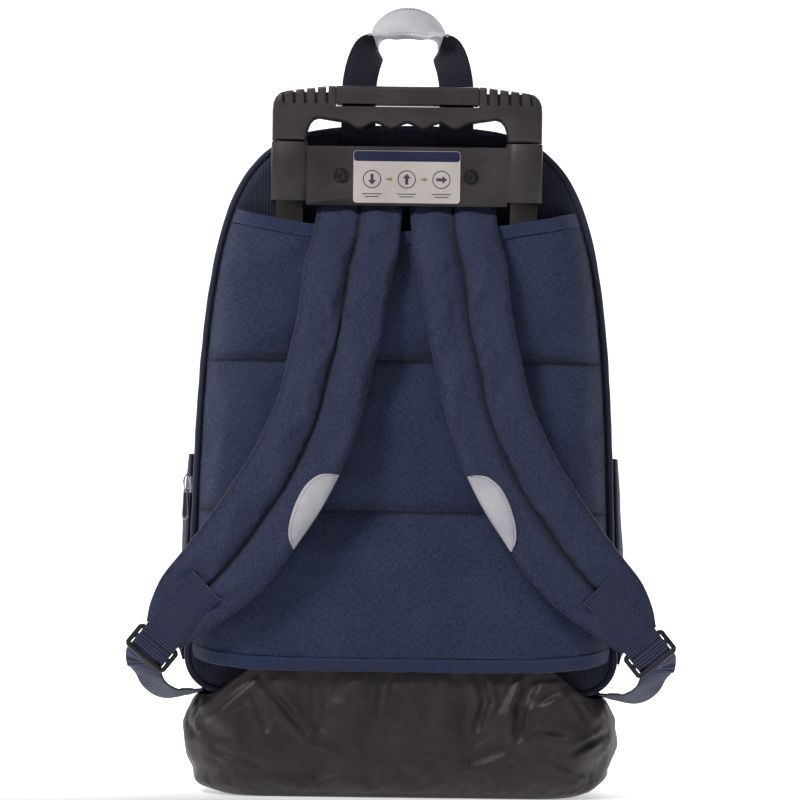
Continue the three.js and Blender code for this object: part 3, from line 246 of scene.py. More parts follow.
painted_quilt_shade = [("along", z + below, reach, depth)
                for z in QUILT_Z for below, reach, depth in ((0, 1.6, 0.8), (2, 7.0, 0.3))]
painted_strap_shade = [("across", STRAP_WIDE / 2, 1.8, 0.85), ("across", STRAP_WIDE / 2, 6.0, 0.25),
                ("across", 0, 6.0, 0.3), ("across", STRAP_WIDE, 6.0, 0.3)]
pad_cloth = heathered_cloth("pad_cloth", "#1f2947", "#3b486d", seams=painted_quilt_shade)
strap_cloth = heathered_cloth("strap_cloth", "#202846", "#404a6e", 0.3, painted_strap_shade)
body_cloth = heathered_cloth("body_cloth", "#1f263e", "#353d5c")

# %% [markdown]
# Webbing and zip tape are woven much coarser than the cloth, in ribs that cross the band. Binding
# tape is the same idea, finer and in a brighter blue. One function draws the ribs as a wave along
# the band, broken up by a finer wave across it, and paints shade into the furrows between them.

# %% Ribbed tapes
def ribbed_tape(name, furrow, rib, pitch, relief):
    finish = Finish(name)
    across, along, _height = finish.axes()
    ribs = along.wave(pitch * MM) * 0.5 + 0.5
    warp = across.wave(pitch * MM * 0.8) * 0.5 + 0.5
    fuzz = finish.noise(1 / (1.2 * MM), 2, 0.6)
    height = ribs * 0.7 + ribs * warp * 0.4 + fuzz * 0.25
    # painted shade: the furrows between the ribs are darker, with random fuzz on top
    furrow_shade_and_fuzz = height * 0.75 + (fuzz - 0.5) * 0.6
    colour = finish.tint(furrow_shade_and_fuzz.stepped(0.05, 0.95), linear(furrow), linear(rib))
    finish.bump(height, relief * MM, 0.9)
    return finish.done(colour, 0.8 - ribs * 0.1, Sheen_Weight=0.2)


webbing_tape = ribbed_tape("webbing_tape", "#090c1e", "#3f4878", 1.9, 0.4)
carry_tape = ribbed_tape("carry_tape", "#080917", "#191d38", 1.9, 0.3)
binding_tape = ribbed_tape("binding_tape", "#14203f", "#2d4170", 1.1, 0.18)
piping_tape = ribbed_tape("piping_tape", "#1b2039", "#30375a", 1.0, 0.12)
ribbed_cloth = ribbed_tape("ribbed_cloth", "#151a2f", "#292f4c", 2.2, 0.25)
zip_tape = ribbed_tape("zip_tape", "#14182c", "#2a2f4b", 0.9, 0.12)

# %% [markdown]
# Sewing thread lies in short bulging stitches. Each is modelled as a small capsule sunk a little in
# the cloth, so the seams stay sharp in close views, and one finish with a faint twist serves all.

# %% Thread
def thread_finish(name, dark, light):
    finish = Finish(name, mapped=False)
    x, y, z = finish.axes()
    twist = (x + y + z).wave(0.5 * MM) * 0.5 + 0.5
    fuzz = finish.noise(1 / (0.8 * MM))
    finish.bump(twist, 0.05 * MM)
    # painted shade: the grooves of the twist are darker, mixed with random fuzz
    colour = finish.tint(twist * 0.6 + fuzz * 0.4, linear(dark), linear(light))
    return finish.done(colour, 0.62 - twist * 0.1)


navy_thread = thread_finish("navy_thread", "#10142a", "#262c4a")
blue_thread = thread_finish("blue_thread", "#2b3d6c", "#4a62a0")
grey_thread = thread_finish("grey_thread", "#6d6d76", "#a3a3ab")

# %% [markdown]
# The cover is thin brown-grey nylon. It is smoother than the bag's cloth and lightly polished, so
# creases catch the light, and a painted highlight makes the crease lines lighter. Fine wrinkles come
# from ridged noise at two sizes, and the grid of the weave is only just felt.

# %% Creased nylon
def creased_nylon():
    finish = Finish("creased_nylon")
    across, along, _height = finish.axes()
    weave = across.wave(0.7 * MM) * along.wave(0.7 * MM)
    broad = 1 - ((finish.noise(26, 2, 0.5) - 0.5) * 2).size()
    small = 1 - ((finish.noise(75, 3, 0.55) - 0.5) * 2).size()
    crease = broad ** 16 * 0.6 + small ** 18 * 0.2
    mottle = finish.noise(60, 4, 0.6) * 0.6 + finish.noise(14, 2) * 0.4
    colour = finish.tint(mottle.stepped(0.3, 0.7), linear("#282127"), linear("#3b3138"))
    # painted highlight: the crease lines are painted lighter, where they catch the light
    colour = finish.tint(crease * 0.2, colour, linear("#564c54"))
    finish.bump(crease * 0.9 + weave * 0.04 + mottle * 0.08, 0.5 * MM, 0.7)
    return finish.done(colour, 0.5 - crease * 0.08)


cover_nylon = creased_nylon()

# %% [markdown]
# Moulded plastic has a fine spark-eroded grain that spreads its highlights, and handling polishes
# the parts that hands and luggage racks touch. The metal pieces are drawn tube and plated steel,
# with long faint scratches along them.

# %% Plastic, metal and rubber
def moulded(name, dark, light, roughness, grain=0.035 * MM):
    finish = Finish(name, mapped=False)
    pits = finish.noise(1 / (0.7 * MM), 3, 0.6)
    drift = finish.noise(30, 3)
    rubbed = finish.noise(120, 4, 0.65).stepped(0.62, 0.8)
    colour = finish.tint(drift.stepped(0.3, 0.7), linear(dark), linear(light))
    finish.bump(pits, grain, 0.8)
    return finish.done(colour, roughness + (pits - 0.5) * 0.12 - rubbed * 0.1)


def drawn_metal(name, dark, light, roughness):
    finish = Finish(name, mapped=False)
    lines = finish.noise(900, 2, 0.6, (1, 1, 0.03))
    smudge = finish.noise(45, 3)
    colour = finish.tint(lines * 0.6 + smudge * 0.4, linear(dark), linear(light))
    finish.bump(lines, 0.02 * MM, 0.6)
    return finish.done(colour, roughness + (smudge - 0.5) * 0.15, Metallic=1.0)


grip_plastic = moulded("grip_plastic", "#393235", "#464043", 0.46)
hidden_plastic = moulded("hidden_plastic", "#2b282a", "#353134", 0.55)
buckle_plastic = moulded("buckle_plastic", "#15161d", "#23242e", 0.38)
screw_plastic = moulded("screw_plastic", "#1a1718", "#262223", 0.4)
tyre_rubber = moulded("tyre_rubber", "#18181a", "#262628", 0.75, 0.08 * MM)
rail_metal = drawn_metal("rail_metal", "#4c474a", "#75706f", 0.3)
tube_steel = drawn_metal("tube_steel", "#9b9b9f", "#c2c2c6", 0.25)
zip_steel = drawn_metal("zip_steel", "#8f9095", "#d0d1d6", 0.22)
dark_steel = drawn_metal("dark_steel", "#34353b", "#55565e", 0.35)

# %% [markdown]
# The reflective patches and the carry handle's wrap are light grey cloth covered with tiny glass
# beads. From the camera's side they look like satin paper: nearly even, with a fine sparkle.

# %% Reflective cloth
def reflective_cloth(name, dark, light):
    finish = Finish(name)
    beads = finish.cells(1 / (0.45 * MM))
    drift = finish.noise(40, 3)
    colour = finish.tint(drift.stepped(0.25, 0.75), linear(dark), linear(light))
    colour = finish.tint(beads.stepped(0.3, 0.6) * 0.12, colour, linear("#8f9099"))
    finish.bump(1 - beads + drift * 3, 0.06 * MM, 0.6)
    return finish.done(colour, 0.5 + (drift - 0.5) * 0.2, Sheen_Weight=0.2)


grey_reflective = reflective_cloth("grey_reflective", "#c6c7d0", "#dedfe6")
# painted light: the wrap's copy of the same cloth is lighter, for the brighter light that falls on it
lit_sleeve_reflective = reflective_cloth("lit_sleeve_reflective", "#dedfe7", "#f4f5fa")

# %% [markdown]
# The studio is a pale floor that curves up into a backdrop far behind. Both glow behind the bag, so
# it stands on white, and the glow ends under it, so the shadows in front stay deep. One soft lamp
# hangs above on the left, a weak one stands on the right, and one behind traces the edges.

# %% Studio
STAGE_HALF, STAGE_TOP, STAGE_BACK, STAGE_FRONT, STAGE_BEND = 9.0, 7.0, 5.0, -6.0, 1.5
GLOW_FROM, GLOW_FULL, GLOW = -0.2, 0.05, 0.85


def build_stage():
    foot = STAGE_BACK - STAGE_BEND
    profile = [(STAGE_FRONT, 0.0), (foot, 0.0)]
    for step in range(1, 9):
        turn = math.radians(90 * step / 8)
        profile.append((foot + STAGE_BEND * math.sin(turn), STAGE_BEND - STAGE_BEND * math.cos(turn)))
    profile.append((STAGE_BACK, STAGE_TOP))
    corners = [(x, y, z) for x in (-STAGE_HALF, STAGE_HALF) for y, z in profile]
    span = len(profile)
    faces = [(i, i + span, i + span + 1, i + 1) for i in range(span - 1)]
    mesh = bpy.data.meshes.new("sweep")
    mesh.from_pydata(corners, [], faces)
    sweep = bpy.data.objects.new("sweep", mesh)
    bpy.context.scene.collection.objects.link(sweep)
    for face in mesh.polygons:
        face.use_smooth = True
    finish = Finish("pale_paper", mapped=False)
    grain = finish.noise(30, 3)
    behind = finish.axes()[1].stepped(GLOW_FROM, GLOW_FULL)
    glow = finish.tint(behind, (0.02, 0.02, 0.02, 1), (1, 1, 1, 1))
    finish.feed(finish.skin.inputs["Emission Color"], glow)
    colour = finish.tint(grain, linear("#f4f4f4"), linear("#f8f8f8"))
    mesh.materials.append(finish.done(colour, 0.9, Emission_Strength=GLOW))
    sweep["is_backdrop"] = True


def add_lamp(name, spot, aim, size, power, colour):
    lamp = bpy.data.lights.new(name, "AREA")
    lamp.shape = "DISK"
    lamp.size = size
    lamp.energy = power
    lamp.color = colour
    holder = bpy.data.objects.new(name, lamp)
    holder.location = spot
    holder.rotation_euler = (Vector(aim) - Vector(spot)).to_track_quat("-Z", "Y").to_euler()
    bpy.context.scene.collection.objects.link(holder)


build_stage()
MIDDLE = (0, -0.05, 0.3)
SKY = 0.15
add_lamp("key", (-1.55, -1.8, 2.7), MIDDLE, 0.8, 54, (1.0, 0.985, 0.96))
add_lamp("fill", (1.9, -2.4, 1.0), MIDDLE, 2.0, 2.2, (0.94, 0.97, 1.0))
add_lamp("back", (0.6, 2.2, 1.9), MIDDLE, 1.6, 26, (1.0, 1.0, 1.0))
world = bpy.data.worlds.new("studio")
world.use_nodes = True
world.node_tree.nodes["Background"].inputs[0].default_value = (1, 1, 1, 1)
world.node_tree.nodes["Background"].inputs[1].default_value = SKY
bpy.context.scene.world = world
bpy.context.scene.view_settings.view_transform = "Standard"

# %% [markdown]
# The hard pieces keep the shape that the frame gives them. A real moulding has no sharp edges, so
# each piece gets a copy whose flat faces are joined up and whose edges are rounded by a narrow
# bevel. The copy stands for the frame's node, which is then hidden.

# %% Rounded copies of the hard pieces
WELD, FLAT_ANGLE, SHARP_ANGLE = 0.02 * MM, math.radians(1), math.radians(28)
SIDES = {"left": -1, "right": 1}


def link_piece(name, mesh, finish, body, replaced=()):
    mesh.materials.clear()
    mesh.materials.append(finish)
    piece = bpy.data.objects.new(name, mesh)
    bpy.context.scene.collection.objects.link(piece)
    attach(piece, body)
    if replaced:
        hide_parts(*replaced)
    return piece


def rounded(node, name, finish, slot, body, width, segments=2):
    form = bmesh.new()
    form.from_mesh(NODES[node].data)
    bmesh.ops.remove_doubles(form, verts=form.verts, dist=WELD)
    bmesh.ops.dissolve_limit(form, angle_limit=FLAT_ANGLE, verts=form.verts, edges=form.edges)
    mesh = bpy.data.meshes.new(name)
    form.to_mesh(mesh)
    form.free()
    for face in mesh.polygons:
        face.use_smooth = True
    piece = link_piece(name, mesh, finish, body, [node])
    bevel = piece.modifiers.new("edges", "BEVEL")
    bevel.width = width * MM
    bevel.segments = segments
    bevel.limit_method = "ANGLE"
    bevel.angle_limit = SHARP_ANGLE
    bevel.harden_normals = True


HARD_PIECES = [
    # node, name, finish, slot, body, rounding in mm
    ("grip", "grip_body", grip_plastic, "moulding", "handle", 0.9),
    ("release_bar", "push_bar", grip_plastic, "moulding", "release", 0.6),
    ("bracket", "bracket_body", grip_plastic, "moulding", "bag", 0.7),
    ("base_frame", "base_body", hidden_plastic, "moulding", "bag", 0.8),
]
for kind, finish, slot, body, width in (
        ("buckle", buckle_plastic, "buckle", "bag", 0.8), ("rail", rail_metal, "rail", "bag", 0.5),
        ("tube", tube_steel, "steel", "handle", 1.0), ("wheel", tyre_rubber, "tyre", "wheel_{}_body", 0.8)):
    HARD_PIECES += [(f"{kind}_{label}", f"{kind}_body_{label}", finish, slot, body.format(label), width)
                    for label in SIDES]
for row in HARD_PIECES:
    rounded(*row)
print("rounded", len(HARD_PIECES), "hard pieces")

# %% [markdown]
# The soft pieces are drawn as grids of points. Their sizes are the frame's own, in millimetres, and
# short tables are read along smooth curves, so the cloth has no facets. A grid becomes a mesh of
# four-sided faces, with a map in metres that tells the weave which way its yarns run.

# %% Grids of points
def eased(knots, values, at):
    """A smooth curve through a short table"""
    knots, values, at = np.asarray(knots, float), np.asarray(values, float), np.asarray(at, float)
    slopes = np.gradient(values, knots, axis=0)
    low = np.clip(np.searchsorted(knots, at, side="right") - 1, 0, len(knots) - 2)
    span = knots[low + 1] - knots[low]
    t = np.clip((at - knots[low]) / span, 0, 1)
    if values.ndim > 1:
        t, span = t[..., None], span[..., None]
    return (values[low] * (1 + 2 * t) * (1 - t) ** 2 + values[low + 1] * t * t * (3 - 2 * t)
            + span * t * (1 - t) * (slopes[low] * (1 - t) - slopes[low + 1] * t))


def ripple(u, v, length, seed, waves=8):
    """Smooth unevenness, mostly between -1 and 1, from a few waves in scattered directions"""
    source = np.random.default_rng(seed)
    total = np.zeros(np.broadcast(u, v).shape)
    for _wave in range(waves):
        turn = source.uniform(0, 2 * math.pi)
        rate = 2 * math.pi / (length * source.uniform(0.6, 1.7))
        total += np.sin((u * math.cos(turn) + v * math.sin(turn)) * rate + source.uniform(0, 6.3))
    return total / math.sqrt(waves)


def grid_mesh(name, patches, solid=False):
    """Patches are (points in mm, map in mm, looped down, looped across). A solid one faces outwards"""
    corners, faces, marks, start = [], [], [], 0
    for grid, chart, down, across in patches:
        rows, columns = grid.shape[:2]
        ids = np.arange(rows * columns).reshape(rows, columns)
        if down:
            ids[-1] = ids[0]
        if across:
            ids[:, -1] = ids[:, 0]
        used, ids = np.unique(ids, return_inverse=True)
        ids = ids.reshape(rows, columns) + start
        start += len(used)
        corners.append(grid.reshape(-1, 3)[used] * MM)
        quads = lambda a: np.stack([a[:-1, :-1], a[:-1, 1:], a[1:, 1:], a[1:, :-1]], 2)
        faces.append(quads(ids).reshape(-1, 4))
        marks.append(quads(chart * MM).reshape(-1, 2))
    mesh = bpy.data.meshes.new(name)
    mesh.from_pydata(np.concatenate(corners).tolist(), [], np.concatenate(faces).tolist())
    layer = mesh.uv_layers.new(name="cloth")
    layer.data.foreach_set("uv", np.concatenate(marks).astype(np.float32).ravel())
    mesh.polygons.foreach_set("use_smooth", [True] * len(mesh.polygons))
    if solid:
        points = np.concatenate(corners)
        points = points - points.mean(axis=0)
        a, b, c, d = points[np.concatenate(faces)].transpose(1, 0, 2)
        volume = np.einsum("ij,ij->", a, np.cross(b, c)) + np.einsum("ij,ij->", a, np.cross(c, d))
        if volume < 0:
            mesh.flip_normals()
    return mesh


def bag_piece(name, patches, finish, slot, *nodes, solid=False):
    """A piece drawn as patches, which rides on the bag and stands for nodes of the frame"""
    return link_piece(name, grid_mesh(name, patches, solid), finish, "bag", nodes)


def chart_of(u, v):
    return np.stack(np.broadcast_arrays(u, v), -1)


def runs(points):
    """How far along a line each of its points is"""
    steps = np.linalg.norm(np.diff(points, axis=0), axis=1)
    return np.concatenate([[0], np.cumsum(steps)])


def spaced(points, count):
    """The same line with evenly spaced points"""
    run = runs(points)
    at = np.linspace(0, run[-1], count)
    return np.stack([np.interp(at, run, points[:, k]) for k in range(points.shape[1])], 1)


def thicken(piece, thickness, offset):
    wall = piece.modifiers.new("wall", "SOLIDIFY")
    wall.thickness = thickness * MM
    wall.offset = offset


print("unevenness sample:", round(float(ripple(3.0, 5.0, 20, 1)), 3))

# %% [markdown]
# A seam is a row of separate stitches. Each one is a small rounded rod that rises from the cloth and
# sinks into it again at both ends, so a seam can follow any line that is laid on a surface.

# %% Stitches
STITCH_SHAPE = [
    # along, thickness, rise
    (-1.0, 0.25, -1.0), (-0.7, 0.85, -0.1), (0.0, 1.0, 0.25), (0.7, 0.85, -0.1), (1.0, 0.25, -1.0),
]
STITCH_SIDES = 6


def rod_patch(low, high, lift, radius):
    """One small rounded rod between two points"""
    way = (high - low) / max(np.linalg.norm(high - low), 1e-6)
    lift = lift - way * lift.dot(way)
    lift = lift / np.linalg.norm(lift)
    side = np.cross(way, lift)
    half = np.linalg.norm(high - low) / 2
    turns = np.linspace(0, 2 * math.pi, STITCH_SIDES + 1)
    around = [side * math.cos(t) + lift * 0.8 * math.sin(t) for t in turns]
    rings = []
    for along, thick, rise in STITCH_SHAPE:
        centre = (low + high) / 2 + way * half * along + lift * radius * rise
        rings.append([centre + radius * thick * out for out in around])
    grid = np.array(rings)
    return grid, grid[..., :2], False, True


def stitch_patches(line, outward, pitch=3.0, share=0.72, radius=0.33, crossing=0.0):
    """Rods along a line in mm, or across it where crossing gives their half length"""
    run = runs(line)
    count = max(int(run[-1] / pitch), 1)
    middles = (np.arange(count) + 0.5) * run[-1] / count
    read = lambda rows, at: np.stack([np.interp(at, run, rows[:, k]) for k in range(3)], 1)
    half = pitch * share / 2
    before, after, lifts = read(line, middles - half), read(line, middles + half), read(outward, middles)
    if crossing:
        side = np.cross(after - before, lifts)
        side *= crossing / np.linalg.norm(side, axis=1)[:, None]
        middle = (before + after) / 2
        before, after = middle - side, middle + side
    return [rod_patch(low, high, lift, radius) for low, high, lift in zip(before, after, lifts)]


def sew(name, seams, finish, slot, **shape):
    """One piece that holds every stitch of the given seams"""
    patches = []
    for line, outward in seams:
        line = np.asarray(line, float)
        outward = np.broadcast_to(np.asarray(outward, float), line.shape)
        patches += stitch_patches(line, outward, **shape)
    print(name, len(patches), "stitches")
    return bag_piece(name, patches, finish, slot)


# %% [markdown]
# Padding swells between its seams, and cloth that is sewn down is always a little longer than the
# seam, so it puckers. Blender's cloth solver does both: the sheet is pinned along its seams, blown up
# by a low pressure for twenty frames with gravity off, and the moved points are kept, each no further
# than a set distance from where it started.

# %% Letting cloth settle
SETTLE_FRAMES = 20


def spots_of(mesh):
    spots = np.empty(len(mesh.vertices) * 3)
    mesh.vertices.foreach_get("co", spots)
    return spots.reshape(-1, 3)


def settle(piece, held, pressure, spare, furthest, stiffness=14.0):
    group = piece.vertex_groups.new(name="seams")
    for index, weight in enumerate(np.asarray(held, float).ravel().tolist()):
        if weight > 0:
            group.add([index], weight, "REPLACE")
    cloth = piece.modifiers.new("settling", "CLOTH")
    rules = cloth.settings
    rules.quality = 4
    rules.mass = 0.25
    rules.tension_stiffness = rules.compression_stiffness = stiffness
    rules.shear_stiffness = stiffness * 0.4
    rules.bending_stiffness = 0.6
    rules.vertex_group_mass = "seams"
    rules.pin_stiffness = 5.0
    rules.shrink_min = -spare
    rules.use_pressure = True
    rules.uniform_pressure_force = pressure
    rules.effector_weights.gravity = 0.0
    cloth.point_cache.frame_end = SETTLE_FRAMES
    scene = bpy.context.scene
    for frame_number in range(1, SETTLE_FRAMES + 1):
        scene.frame_set(frame_number)
    start = spots_of(piece.data)
    step = spots_of(piece.evaluated_get(bpy.context.evaluated_depsgraph_get()).data) - start
    far = np.linalg.norm(step, axis=1)
    step *= np.minimum(1, furthest * MM / np.maximum(far, 1e-9))[:, None]
    piece.modifiers.remove(cloth)
    piece.data.vertices.foreach_set("co", (start + step).ravel())
    piece.data.update()
    scene.frame_set(1)
    print(piece.name, "settled, moved up to", round(float(far.max()) / MM, 1), "mm")


# %% [markdown]
# The bag's outline, seen from behind, is a straight bottom with round corners, sides that lean in
# towards the top and a shallow bow over the trolley. It is drawn once, spaced evenly and kept with the
# direction that points outwards, because the back, the seams, the zip and the front all follow it.

# %% The bag's outline
BAG_HALF, BAG_LOW, BAG_HIGH, BAG_BACK, BAG_DEEP = 157.5, 73.0, 487.0, -70.0, 125.0
CORNER = 28.0
GAP = 0.3
BACK_Z = BAG_LOW + 0.326 * (BAG_HIGH - BAG_LOW)


def bezier(knots, count):
    t = np.linspace(0, 1, count)[:, None]
    a, b, c, d = [np.array(k, float) for k in knots]
    return a * (1 - t) ** 3 + 3 * b * t * (1 - t) ** 2 + 3 * c * t * t * (1 - t) + d * t ** 3


def whole_loop(right_half, count):
    """Both sides of an outline whose right half is given, evenly spaced and closed"""
    left_half = right_half[::-1][1:] * [-1, 1]
    line = spaced(np.concatenate([right_half, left_half]), count)
    tangent = np.gradient(np.concatenate([line[-2:-1], line, line[1:2]]), axis=0)[1:-1]
    tangent /= np.linalg.norm(tangent, axis=1)[:, None]
    return line, np.stack([tangent[:, 1], -tangent[:, 0]], 1)


def corner_points(centre, radius, from_turn, to_turn, count=12):
    turns = np.radians(np.linspace(from_turn, to_turn, count))
    return np.stack([centre[0] + radius * np.cos(turns), centre[1] + radius * np.sin(turns)], 1)


def bag_half():
    tall = BAG_HIGH - BAG_LOW
    side = (0.973 * BAG_HALF, BACK_Z)
    bow = bezier([side, (0.929 * BAG_HALF, BAG_LOW + 0.988 * tall),
                  (0.738 * BAG_HALF, BAG_LOW + 0.9975 * tall), (0, BAG_HIGH)], 60)
    corner = corner_points((BAG_HALF - CORNER, BAG_LOW + CORNER), CORNER, -90, 0)
    return np.concatenate([[(0, BAG_LOW)], corner, bow])


AROUND = 401
BAG_LINE, BAG_OUT = whole_loop(bag_half(), AROUND)
BAG_RUN = runs(BAG_LINE)


def ring(line, out, grow, y, shrink=1.0, middle=0.0):
    """The outline as points in space, moved outwards and then drawn in to its middle"""
    flat = line + out * np.broadcast_to(grow, (len(line),))[:, None]
    z = middle + (flat[:, 1] - middle) * shrink
    return np.stack([flat[:, 0] * shrink, np.broadcast_to(y, z.shape), z], 1)


def bag_ring(grow, y, shrink=1.0, middle=280.0):
    return ring(BAG_LINE, BAG_OUT, grow, y, shrink, middle)


def half_width_at(z):
    right = BAG_LINE[:AROUND // 2 + 1]
    rising = right[np.argmax(right[:, 0]) // 4:]
    return np.interp(z, rising[:, 1], rising[:, 0])


print("outline", round(BAG_RUN[-1]), "mm round")

# %% [markdown]
# The back wall is a flat cloth panel with upright ribs, which shows beside the trolley's sleeves. A
# corded seam runs round it: tape folded over a cord, with its ribs across the cord.

# %% Back wall and corded seams
PIPING = 2.3
PIPING_Y = BAG_BACK + PIPING - 0.6
WALL = 1.4


def cord_patch(line, out, grow, y, radius, seed):
    turns = np.linspace(0, 2 * math.pi, 13)
    run = runs(line)
    uneven = 1 + 0.05 * ripple(run, 0 * run, 30, seed)
    uneven[-1] = uneven[0]
    thick = radius * uneven
    grid = np.stack([ring(line, out, grow + thick * math.cos(t), y + thick * math.sin(t)) for t in turns], 1)
    return grid, chart_of(turns * radius, run[:, None]), True, True


wall_grid = np.stack([bag_ring(-2 * PIPING - 2 * GAP, BAG_BACK, shrink)
                      for shrink in (1, 0.97, 0.9, 0.75, 0.5, 0.25, 0.002)])
wall_patch = (wall_grid, wall_grid[..., [2, 0]], False, True)
back_cloth = bag_piece("back_cloth", [wall_patch], ribbed_cloth, "cloth", "back_wall")
thicken(back_cloth, WALL, -1)
rear_patch = cord_patch(BAG_LINE, BAG_OUT, -PIPING, PIPING_Y, PIPING, 3)
bag_piece("rear_cord", [rear_patch], piping_tape, "webbing", "rear_piping")
print("back wall and rear cord")

# %% [markdown]
# Behind the corded seam comes a narrow strip, then the zip over the top, then the deep front half.
# The front half is one shell whose sides swell a little and sag between the seams. Its unevenness is
# drawn as low waves, because a wall this large has no padding to blow up.

# %% Side strip and front shell
ZIP_BACK, ZIP_FRONT = BAG_BACK + 16, BAG_BACK + 24
SWELL = 0.8
FRONT_CORD = PIPING * 0.8
DEPTH_UP, DEPTH_SHARE = [0, 0.58, 0.8, 0.93, 1], [1, 1, 0.88, 0.72, 0.58]
ZIP_SPAN = BAG_LINE[:, 1] > BACK_Z


def front_at(z):
    return BAG_BACK + BAG_DEEP * np.interp((z - BAG_LOW) / (BAG_HIGH - BAG_LOW), DEPTH_UP, DEPTH_SHARE)


def sagging(run, y, length, seed, depth, most):
    """Low waves round a wall, which fade out where its outline closes"""
    fade = np.minimum(1, np.minimum(run, run[-1] - run) / 30)
    return np.minimum(ripple(run, y, length, seed) * depth * fade, most)


def shell_patches():
    along = np.linspace(0, 1, 34)
    start = np.where(ZIP_SPAN, ZIP_FRONT + GAP, ZIP_BACK)
    end = front_at(BAG_LINE[:, 1])
    swell = eased([0, 0.36, 0.7, 0.965, 1], [-0.1, 1, 0.8, -0.6, -0.9], along) * SWELL
    wall, chart, front = [], [], []
    for share, push in zip(along, swell):
        y = start + (end - start) * share
        wall.append(bag_ring(push + sagging(BAG_RUN, y, 60, 5, 1.1 * math.sin(math.pi * share), 0.6), y))
        chart.append(chart_of(BAG_RUN, y))
    for shrink in (1, 0.985, 0.95, 0.88, 0.78, 0.65, 0.5, 0.35, 0.2, 0.08, 0.002):
        row = bag_ring(-2 * PIPING, 0.0, shrink)
        waves = ripple(row[:, 0], row[:, 2], 80, 6) * 1.6
        row[:, 1] = front_at(row[:, 2]) - 0.2 + (1 - shrink) * (2.0 + waves)
        front.append(row)
    front = np.stack(front)
    return [(np.stack(wall), np.stack(chart), False, True), (front, front[..., [0, 2]], False, True)]


strip_edges = ((-0.35, -65.7), (-0.1, -60.0), (-0.1, ZIP_BACK - GAP))
strip_grid = np.stack([bag_ring(share * SWELL, y) for share, y in strip_edges])
strip_patch = (strip_grid, chart_of(BAG_RUN, strip_grid[..., 1]), False, True)
thicken(bag_piece("side_strip", [strip_patch], body_cloth, "cloth", "rear_gusset"), WALL, 1)
thicken(bag_piece("front_half", shell_patches(), body_cloth, "cloth", "front_shell"), WALL, 1)
front_cord_y = front_at(BAG_LINE[:, 1]) + FRONT_CORD
front_patch = cord_patch(BAG_LINE, BAG_OUT, -0.6 * SWELL - FRONT_CORD, front_cord_y, FRONT_CORD, 4)
bag_piece("front_cord", [front_patch], piping_tape, "webbing", "front_piping")
print("side strip, front half and front cord")

# %% [markdown]
# The back panel is a foam pad in a woven cover, quilted by two seams into three fields, and it stands
# off the back wall to leave room for the rails. Its section is drawn at each height, thin at its sewn
# sides and thick between them, and the quilting then lets the cloth swell between the seams.

# %% The quilted back panel
PAD_INSET, PAD_STAND, PAD_THICK, PAD_EDGE = 6.4, 18.0, 10.0, 2.6
PAD_HIGH, PAD_DIP, PAD_LOW, BAND = BAG_HIGH - 62, 17.0, BAG_LOW + 20, 9.0
PAD_BAND = BAND / (PAD_HIGH - PAD_LOW)
PAD_ROWS, PAD_FRONT, PAD_BEHIND = 125, 115, 27


def pad_top(x):
    return PAD_HIGH - PAD_DIP * (1 - np.minimum(np.abs(x) / (BAG_HALF * 0.83), 1) ** 2)


def pad_bottom(x):
    return PAD_LOW + 10 * (np.abs(x) / BAG_HALF) ** 6


def pad_point(across, up, wall, proud=0.0):
    across, up, wall = np.broadcast_arrays(across, up, wall)
    x = across * (half_width_at(PAD_LOW + up * (PAD_HIGH - PAD_LOW)) - PAD_INSET)
    z = pad_bottom(x) + up * (pad_top(x) - pad_bottom(x))
    puff = eased([0, 0.05, 0.18, 0.5, 0.85, 0.94, 1], [0.45, 0.9, 1.1, 1.15, 1.08, 0.7, 0.3], up)
    for seam in QUILT_Z:
        puff = puff * (1 - 0.34 * np.exp(-((z - seam) / 11) ** 2) - 0.34 * np.exp(-((z - seam) / 3.4) ** 2))
    crown = 1 - np.abs(across) ** 14
    thickness = PAD_EDGE + (PAD_THICK - PAD_EDGE) * crown * puff
    stand = (PAD_STAND - GAP) * crown * eased([0, 0.05, 0.18, 0.3, 1], [1.14, 1.1, 1.04, 1, 1], up)
    y = BAG_BACK - GAP - stand - wall * thickness - proud * (2 * wall - 1)
    return np.stack([x, y, z], -1)


def side_spread(count):
    """Shares from -1 to 1, closer together near the sewn sides"""
    t = np.linspace(-1, 1, count)
    return np.sign(t) * (1 - (1 - np.abs(t)) ** 1.25)


def make_pad():
    up = np.linspace(PAD_BAND + 0.001, 1 - PAD_BAND - 0.001, PAD_ROWS)[:, None]
    front, behind = side_spread(PAD_FRONT), side_spread(PAD_BEHIND)[::-1]
    across = np.concatenate([front, behind[1:], front[:1]])[None, :]
    wall = np.concatenate([np.ones(PAD_FRONT), np.zeros(PAD_BEHIND - 1), np.ones(1)])[None, :]
    grid = pad_point(across, up, wall)
    grid[:, -1] = grid[:, 0]
    x, y, z = grid.transpose(2, 0, 1)
    edge = 1 - np.abs(across) ** 8
    grid[..., 1] -= wall * edge * ripple(x, z * 2.4, 55, 11) * 0.35
    patch = (grid, grid[..., [0, 2]], False, True)
    pad = bag_piece("quilted_pad", [patch], pad_cloth, "cloth", "back_pad", solid=True)
    held = (wall < 0.5) | (np.abs(across) > 0.985) | (up < 0.034) | (up > 0.966)
    for seam in QUILT_Z:
        held = held | (np.abs(z - seam) < 1.5)
    settle(pad, held[:, :-1], 1.5, 0.004, 2.4)
    return pad


quilted_pad = make_pad()

# %% [markdown]
# Some small pieces have to lie on cloth whose final shape only the settling decides. A ray sent at the
# cloth from in front of it finds the place, and the piece is laid there with a little lift.

# %% Laying things on cloth
def cloth_surface(piece):
    seen = piece.evaluated_get(bpy.context.evaluated_depsgraph_get()).data
    points = [v.co.copy() for v in seen.vertices]
    return BVHTree.FromPolygons(points, [list(face.vertices) for face in seen.polygons])


